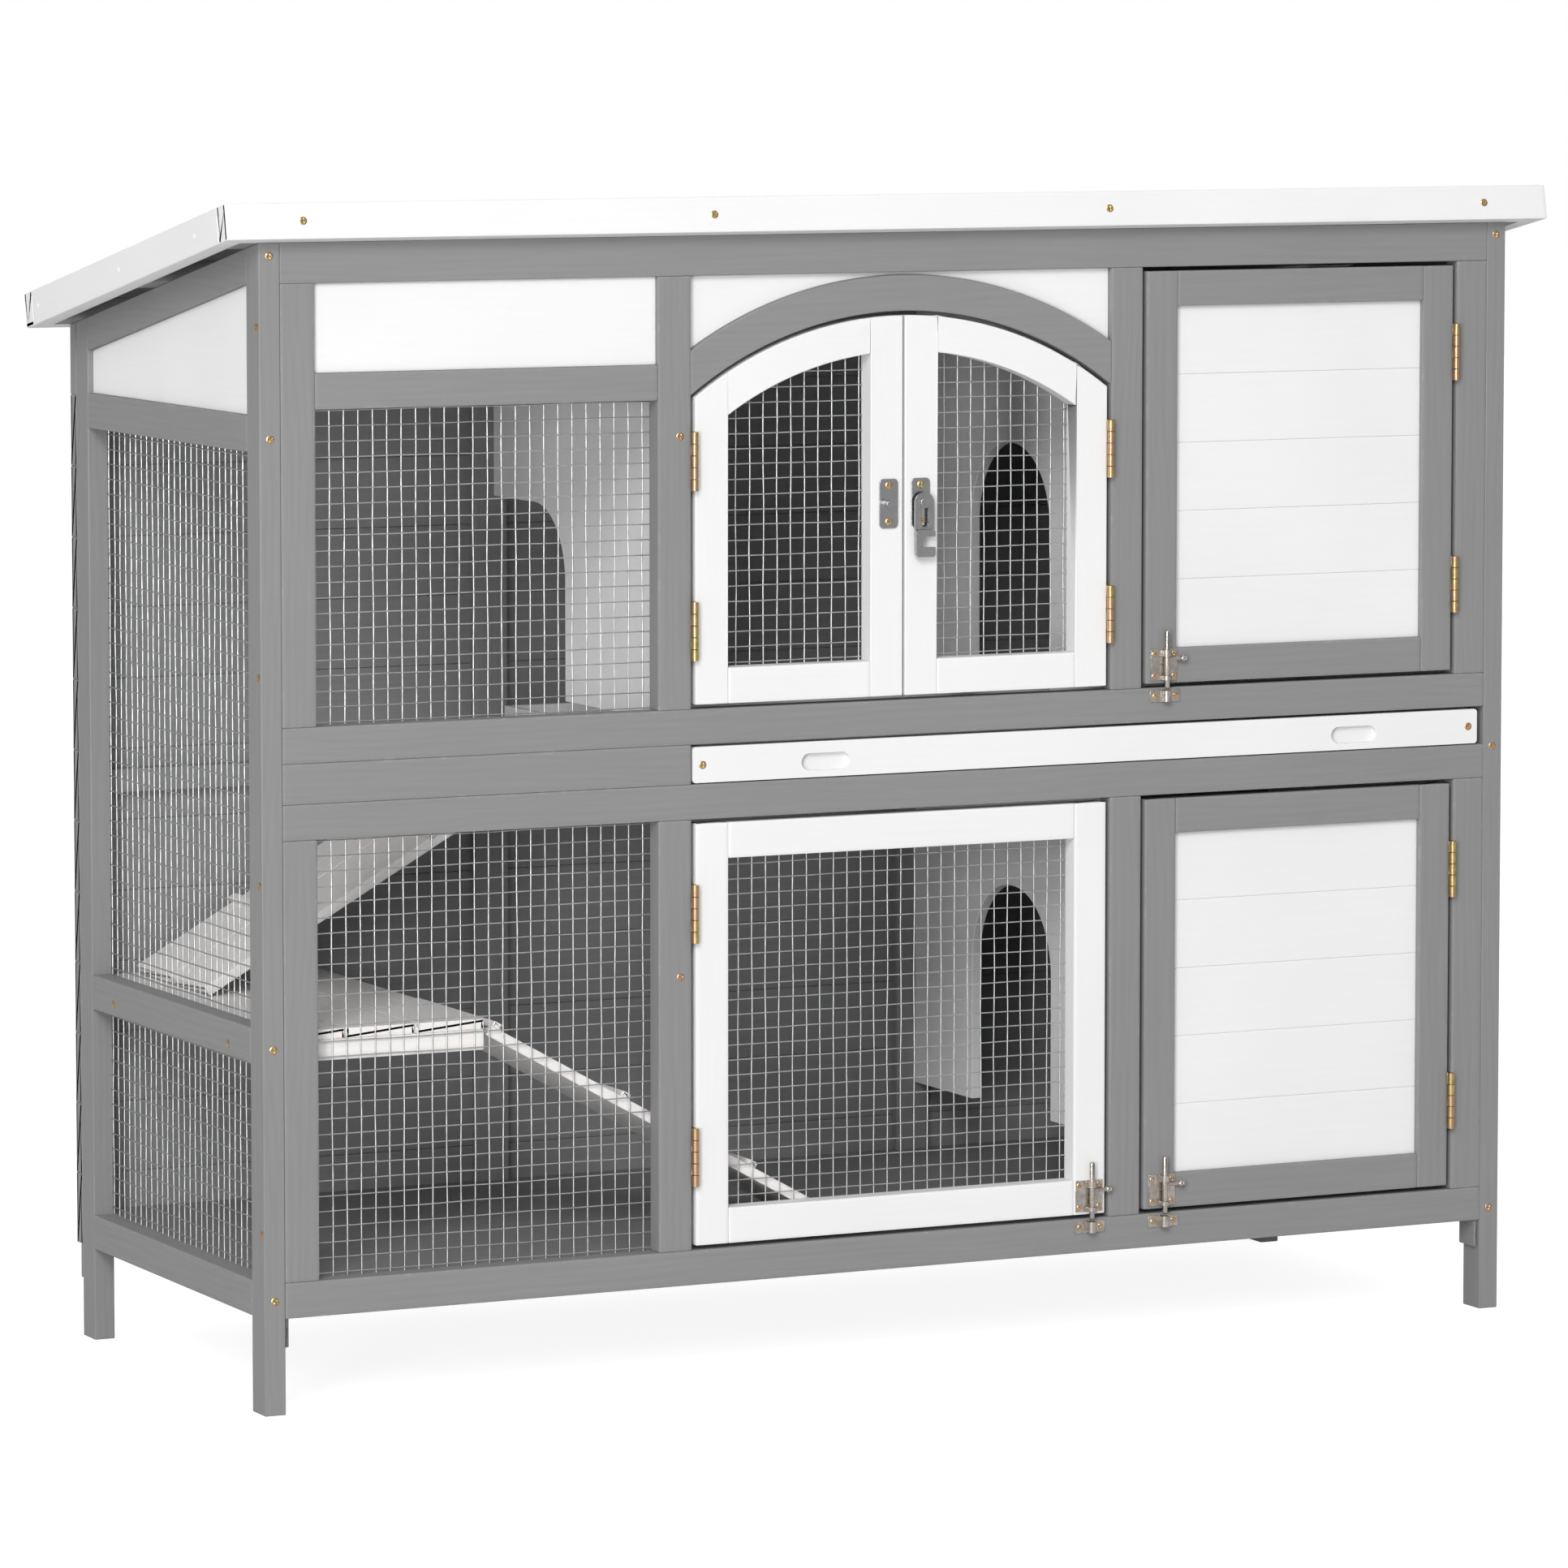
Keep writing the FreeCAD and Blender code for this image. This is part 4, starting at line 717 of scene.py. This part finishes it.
# ---- operators -----------------------------------------------------------------------------
class HUTCH_OT_frame_boards(Operator):
    """Corner posts, rails and stiles in grey paint, and the roof's edge strips in white"""
    bl_idname = "hutch.frame_boards"
    bl_label = "Frame boards"

    def execute(self, context):
        """Each solid of these nodes becomes an eased board with the same extent."""
        ease = context.scene.hutch_finish.board_ease
        for node in ("post_front_left", "post_front_right", "post_rear_left", "post_rear_right",
                     "left_side_rails", "right_side_rails", "front_rails", "upper_stiles", "lower_stiles",
                     "filler_board", "arch_rail", "leg_cleats"):
            wooden(node, finish_of("grey"), ease)
        wooden("roof_frame", finish_of("white"), ease)
        return {"FINISHED"}


class HUTCH_OT_panels(Operator):
    """White planks, arch panels, back wall and partitions"""
    bl_idname = "hutch.panels"
    bl_label = "Panels and walls"

    def execute(self, context):
        """Each solid of these nodes becomes an eased board, white, grey or worn."""
        s = context.scene.hutch_finish
        for node in ("left_gable_plank", "right_side_planks", "spandrel_panels", "front_plank",
                     "partition_upper_left", "partition_upper_right", "partition_lower_right"):
            wooden(node, finish_of("white"), s.board_ease)
        for node in ("back_boards", "back_frame", "floor", "upper_deck", "roof_board"):
            wooden(node, finish_of("grey"), s.board_ease)
        wooden("platform", finish_of("worn"), s.board_ease)
        return {"FINISHED"}


class HUTCH_OT_roof_felt(Operator):
    """The felt sheet inside the roof's edge strips"""
    bl_idname = "hutch.roof_felt"
    bl_label = "Roof felt"

    def execute(self, context):
        """The sheet keeps its extent and gets eased edges and the felt finish."""
        wooden("roof_felt", finish_of("felt"), FELT_EASE)
        return {"FINISHED"}


class HUTCH_OT_doors(Operator):
    """Members and planks of the five doors"""
    bl_idname = "hutch.doors"
    bl_label = "Doors"

    def execute(self, context):
        """Each member and plank becomes an eased board; the narrow planks have sharper edges."""
        s = context.scene.hutch_finish
        for node in ("arch_left_frame", "arch_right_frame", "lower_mesh_door_frame"):
            wooden(node, finish_of("white"), s.board_ease)
        for node in ("upper_right_door_frame", "lower_right_door_frame"):
            wooden(node, finish_of("grey"), s.board_ease)
        for node in ("upper_right_door_planks", "lower_right_door_planks"):
            wooden(node, finish_of("white"), s.plank_ease)
        return {"FINISHED"}


class HUTCH_OT_wire(Operator):
    """Round wires in place of the square bars of each mesh"""
    bl_idname = "hutch.wire"
    bl_label = "Wire mesh"

    def execute(self, context):
        """Each bar's middle line, from end to end along its longest side, becomes a round wire."""
        w = context.scene.hutch_wire
        for node in ("side_mesh", "front_upper_mesh", "front_lower_mesh", "arch_left_mesh",
                     "arch_right_mesh", "lower_mesh_door_mesh"):
            g = Gather()
            for k, (pts, _) in enumerate(solids(node)):
                lo, hi = pts.min(0), pts.max(0)
                axis = int(np.argmax(hi - lo))
                p0 = (lo + hi) / 2
                p1 = p0.copy()
                p0[axis], p1[axis] = lo[axis], hi[axis]
                g.add(*wire_tube(p0, p1, w.thickness / 2, w.sides, k, WIRE_WANDER))
            obj = g.build(node + "_wires")
            settle(obj, node, finish_of("wire"))
        return {"FINISHED"}


class HUTCH_OT_tray(Operator):
    """The pull-out tray"""
    bl_idname = "hutch.tray"
    bl_label = "Tray"

    def execute(self, context):
        """Boxes become eased boards; the front keeps its CAD form for its finger recesses."""
        s = context.scene.hutch_finish
        for node in ("tray_front", "tray_pan"):
            wooden(node, finish_of("white"), s.board_ease)
        return {"FINISHED"}


class HUTCH_OT_ramps(Operator):
    """Ramps with their cleats"""
    bl_idname = "hutch.ramps"
    bl_label = "Ramps"

    def execute(self, context):
        """Each board and cleat becomes an eased board turned to the slope of its ramp."""
        s = context.scene.hutch_finish
        for node in ("lower_ramp", "upper_ramp"):
            wooden(node, finish_of("worn"), s.board_ease)
        return {"FINISHED"}


SCREW_SPAN = 0.0075     # no screw head is wider than this
HINGE_SPAN = 0.045      # and no plate but a hinge's is taller than this
STUD_PLATE = 0.035      # the latch's plates are taller than this, the bolts' are not
NAIL_RADIUS = 0.0026    # roof nails are narrower than this
GOLDEN_TURN = 2.4       # every screw stands turned by this much more, in radians, than the last
ROD_RADIUS = 0.0023
ROD_SIDES = 20
KNOB_THIN = 0.0013      # radius of a knob's stem
KNOB_FAT = 0.0027       # and of its grip


def head_of(points):
    """Centre of the seat, outward direction, radius and height of a screw head: the direction is the one
    in which its points spread least, turned to the front or the left."""
    middle = (points.min(0) + points.max(0)) / 2
    away = points - middle
    out = np.linalg.svd(away, full_matrices=False)[2][2]
    if out[0] + out[1] > 0:
        out = -out
    rise = away @ out
    flat = away - rise[:, None] * out
    height = np.ptp(rise)
    return middle - out * height / 2, out, np.linalg.norm(flat, axis=1).max(), height


def turned_rod(node, gather):
    """A bolt's rod with rounded ends and its knob, both turned shapes, from its CAD place. The rod's ends
    narrow over 0.6 of its radius. The knob's stem widens to a grip with one groove, whose rings lie the
    distances written below from its tip."""
    points = solids(node)[0][0]
    low, high = points.min(0), points.max(0)
    r = ROD_RADIUS
    centre = np.array([low[0] + r, (low[1] + high[1]) / 2, low[2]])
    length, reach = high[2] - low[2], high[0] - low[0] - r
    rod = [(0, 0), (0.6 * r, 0), (0.9 * r, 0.3 * r), (r, 0.6 * r),
           (r, length - 0.6 * r), (0.9 * r, length - 0.3 * r), (0.6 * r, length), (0, length)]
    gather.add(*revolve(rod, centre, (0, 0, 1), ROD_SIDES))
    knob_z = points[points[:, 0] > centre[0] + 4 * r][:, 2].mean()
    thin, fat = KNOB_THIN, KNOB_FAT
    knob = [(0, 0.001), (thin, 0.001), (thin, reach - 0.0062), (0.7 * fat, reach - 0.0058),
            (fat, reach - 0.0046), (fat, reach - 0.0030), (0.86 * fat, reach - 0.0026),
            (0.86 * fat, reach - 0.0022), (fat, reach - 0.0018), (fat, reach - 0.0010),
            (0.7 * fat, reach - 0.0002), (0, reach)]
    gather.add(*revolve(knob, (centre[0], centre[1], knob_z), (1, 0, 0), ROD_SIDES))


def metal_pieces(node, finish_for, edge=METAL_EASE, screws=True):
    """The metal solids of a node. Those under SCREW_SPAN are made anew as screw heads with a cross recess,
    unless screws is False; the rest keep their CAD form with eased edges, each under the finish that
    finish_for names."""
    heads, shapes = {}, {}
    for k, (pts, tris) in enumerate(solids(node)):
        size = np.ptp(pts, axis=0)
        if screws and size.max() < SCREW_SPAN:
            origin, out, radius, height = head_of(pts)
            name = "white" if radius < NAIL_RADIUS and node == "frame_screws" else "brass"
            made = screw_head(origin, out, radius, height, GOLDEN_TURN * k)
            heads.setdefault(name, Gather()).add(*made)
        else:
            shapes.setdefault(finish_for(size), Gather()).add(pts, tris)
    for kind, groups in (("heads", heads), ("plates", shapes)):
        for name, gather in groups.items():
            obj = gather.build(f"{node}_{name}_{kind}")
            outward(obj)
            if kind == "plates":
                dissolve(obj)
                bevel(obj, edge)
            settle(obj, node, finish_of(name))


def door_metal(size):
    """Finish of a door's fitting by its height: over HINGE_SPAN brass, over STUD_PLATE chrome, else
    nickel."""
    if size[2] > HINGE_SPAN:
        return "brass"
    return "chrome" if size[2] > STUD_PLATE else "nickel"


class HUTCH_OT_fittings(Operator):
    """Hinges, latch, keepers and screws"""
    bl_idname = "hutch.fittings"
    bl_label = "Fittings"

    def execute(self, context):
        """Screws, hinges, latch, keepers and ramp hinges, each by metal_pieces."""
        for node in ("frame_screws", "tray_screws", "frame_hinges"):
            metal_pieces(node, lambda size: "brass")
        for node in ("arch_left_fittings", "arch_right_fittings", "upper_right_door_fittings",
                     "lower_mesh_door_fittings", "lower_right_door_fittings"):
            metal_pieces(node, door_metal)
        metal_pieces("bolt_keepers", lambda size: "nickel")
        for node in ("ramp_hinge_plates", "upper_ramp_flaps", "lower_ramp_flaps"):
            metal_pieces(node, lambda size: "nickel", screws=False)
        metal_pieces("hasp_bar", lambda size: "chrome", HASP_EASE, screws=False)
        return {"FINISHED"}


class HUTCH_OT_bolts(Operator):
    """Rods and knobs of the three barrel bolts"""
    bl_idname = "hutch.bolts"
    bl_label = "Bolts"

    def execute(self, context):
        """Each rod and knob is turned anew round the axis of its CAD solid."""
        for node in ("upper_right_bolt", "lower_mesh_bolt", "lower_right_bolt"):
            gather = Gather()
            turned_rod(node, gather)
            obj = gather.build(node + "_rod")
            outward(obj)
            settle(obj, node, finish_of("nickel"))
        return {"FINISHED"}


FLOOR_HALF = 14.0
FLOOR_GLOW = 0.88                   # light given off by the floor where the camera sees it
FLOOR_SHADE = (0.34, 0.34, 0.34, 1)   # and what it adds, which leaves the shadow
HORIZON = 0.16                      # the surround's strength at eye level, as a share of overhead
KEY_AT = (-6.5, -9.5, 6.8)
KEY_SIZE = 5.0
FILL_AT = (-4.2, -4.2, 0.9)
FILL_SIZE = 1.2
LAMP_AIM = (0, 0, 0.45)
CAMERA_AT = (-2.87615, -5.89247, 1.1714)
CAMERA_YAW = 25.956                 # to the right of straight ahead
CAMERA_PITCH = 4.853                # downwards
CAMERA_LENS = 174.62                # in millimetres, on a sensor of the next width
CAMERA_SENSOR = 36
CAMERA_SHIFT = -0.1067              # of the picture, upwards, as a share of its width


def floor_material(colour):
    """A pale floor that looks nearly white itself, with a faint shadow, but throws back only its own
    colour."""
    mat, tree, bsdf = start_material("studio floor")
    bsdf.inputs["Base Color"].default_value = (*colour, 1)
    bsdf.inputs["Roughness"].default_value = 0.9
    out = next(n for n in tree.nodes if n.type == "OUTPUT_MATERIAL")
    seen = tree.nodes.new("ShaderNodeBsdfPrincipled")
    seen.inputs["Base Color"].default_value = FLOOR_SHADE
    seen.inputs["Roughness"].default_value = 1.0
    seen.inputs["Emission Color"].default_value = (1, 1, 1, 1)
    seen.inputs["Emission Strength"].default_value = FLOOR_GLOW
    path = tree.nodes.new("ShaderNodeLightPath")
    mix = tree.nodes.new("ShaderNodeMixShader")
    link(tree, path.outputs["Is Camera Ray"], mix.inputs[0])
    link(tree, bsdf.outputs[0], mix.inputs[1])
    link(tree, seen.outputs[0], mix.inputs[2])
    link(tree, mix.outputs[0], out.inputs[0])
    return mat


def studio_world(strength):
    """A pale surround: white where it is seen; as a light it is dim at the level of the eye and rises to
    the given strength overhead."""
    world = bpy.data.worlds.new("studio")
    world.use_nodes = True
    tree = world.node_tree
    back = tree.nodes["Background"]
    back.inputs[0].default_value = (1, 1, 1, 1)
    path = tree.nodes.new("ShaderNodeLightPath")
    way = tree.nodes.new("ShaderNodeTexCoord")
    height = tree.nodes.new("ShaderNodeSeparateXYZ")
    link(tree, way.outputs["Generated"], height.inputs[0])
    light = remap(tree, height.outputs[2], 0.0, 0.9, HORIZON * strength, strength)
    link(tree, remap(tree, path.outputs["Is Camera Ray"], 0.0, 1.0, light, 1.0), back.inputs[1])
    return world


class HUTCH_OT_stage(Operator):
    """Pale floor, soft lights and the camera"""
    bl_idname = "hutch.stage"
    bl_label = "Stage"

    def execute(self, context):
        """Floor, surround, two square lamps aimed at one place, and a camera turned by yaw and pitch."""
        s = context.scene.hutch_studio
        mesh = bpy.data.meshes.new("floor_stage")
        h = FLOOR_HALF
        mesh.from_pydata([(-h, -h, 0), (h, -h, 0), (h, h, 0), (-h, h, 0)], [], [(0, 1, 2, 3)])
        floor = bpy.data.objects.new("floor_stage", mesh)
        context.scene.collection.objects.link(floor)
        mesh.materials.append(floor_material(tuple(s.floor)))
        context.scene.world = studio_world(s.sky)

        for name, at, size, power in (("key", KEY_AT, KEY_SIZE, s.key_power),
                                      ("fill", FILL_AT, FILL_SIZE, s.fill_power)):
            lamp = bpy.data.lights.new(name, "AREA")
            lamp.size = size
            lamp.energy = power
            obj = bpy.data.objects.new(name, lamp)
            obj.location = at
            obj.rotation_euler = aim(at, LAMP_AIM)
            context.scene.collection.objects.link(obj)

        cam = bpy.data.cameras.new("camera")
        cam.lens = CAMERA_LENS
        cam.sensor_width = CAMERA_SENSOR
        cam.shift_y = CAMERA_SHIFT
        obj = bpy.data.objects.new("camera", cam)
        obj.location = CAMERA_AT
        yaw, pitch = math.radians(CAMERA_YAW), math.radians(CAMERA_PITCH)
        look = (math.sin(yaw) * math.cos(pitch), math.cos(yaw) * math.cos(pitch), -math.sin(pitch))
        obj.rotation_euler = aim((0, 0, 0), look)
        context.scene.collection.objects.link(obj)
        context.scene.camera = obj
        context.scene.view_settings.view_transform = "Standard"
        return {"FINISHED"}


def aim(at, to):
    """Rotation that points a lamp or camera from one place to another, its top kept upright."""
    return (Vector(to) - Vector(at)).to_track_quat("-Z", "Y").to_euler()


class HUTCH_PT_panel(Panel):
    """Lists the hutch's pieces"""
    bl_label = "Rabbit hutch"
    bl_idname = "HUTCH_PT_panel"
    bl_space_type = "VIEW_3D"
    bl_region_type = "UI"
    bl_category = "Hutch"

    def draw(self, context):
        """Every setting, then a button for every operator."""
        col = self.layout.column()
        for block in (context.scene.hutch_finish, context.scene.hutch_wire, context.scene.hutch_studio):
            for key in block.__annotations__:
                col.prop(block, key)
        for op in OPERATORS:
            col.operator(op.bl_idname)


OPERATORS = (HUTCH_OT_frame_boards, HUTCH_OT_panels, HUTCH_OT_roof_felt, HUTCH_OT_doors, HUTCH_OT_wire,
             HUTCH_OT_tray, HUTCH_OT_ramps, HUTCH_OT_fittings, HUTCH_OT_bolts, HUTCH_OT_stage)
CLASSES = (HutchFinish, HutchWire, HutchStudio) + OPERATORS + (HUTCH_PT_panel,)


def register():
    """Adds the classes and the three groups of settings to Blender."""
    for c in CLASSES:
        bpy.utils.register_class(c)
    bpy.types.Scene.hutch_finish = PointerProperty(type=HutchFinish)
    bpy.types.Scene.hutch_wire = PointerProperty(type=HutchWire)
    bpy.types.Scene.hutch_studio = PointerProperty(type=HutchStudio)


def unregister():
    """Takes them away again."""
    del bpy.types.Scene.hutch_finish
    del bpy.types.Scene.hutch_wire
    del bpy.types.Scene.hutch_studio
    for c in reversed(CLASSES):
        bpy.utils.unregister_class(c)


def main():
    """Registers the classes and makes every piece in turn."""
    register()
    for op in OPERATORS:
        section, name = op.bl_idname.split(".")
        if getattr(getattr(bpy.ops, section), name)() != {"FINISHED"}:
            raise RuntimeError(op.bl_idname + " did not finish")


if __name__ == "__main__":
    main()
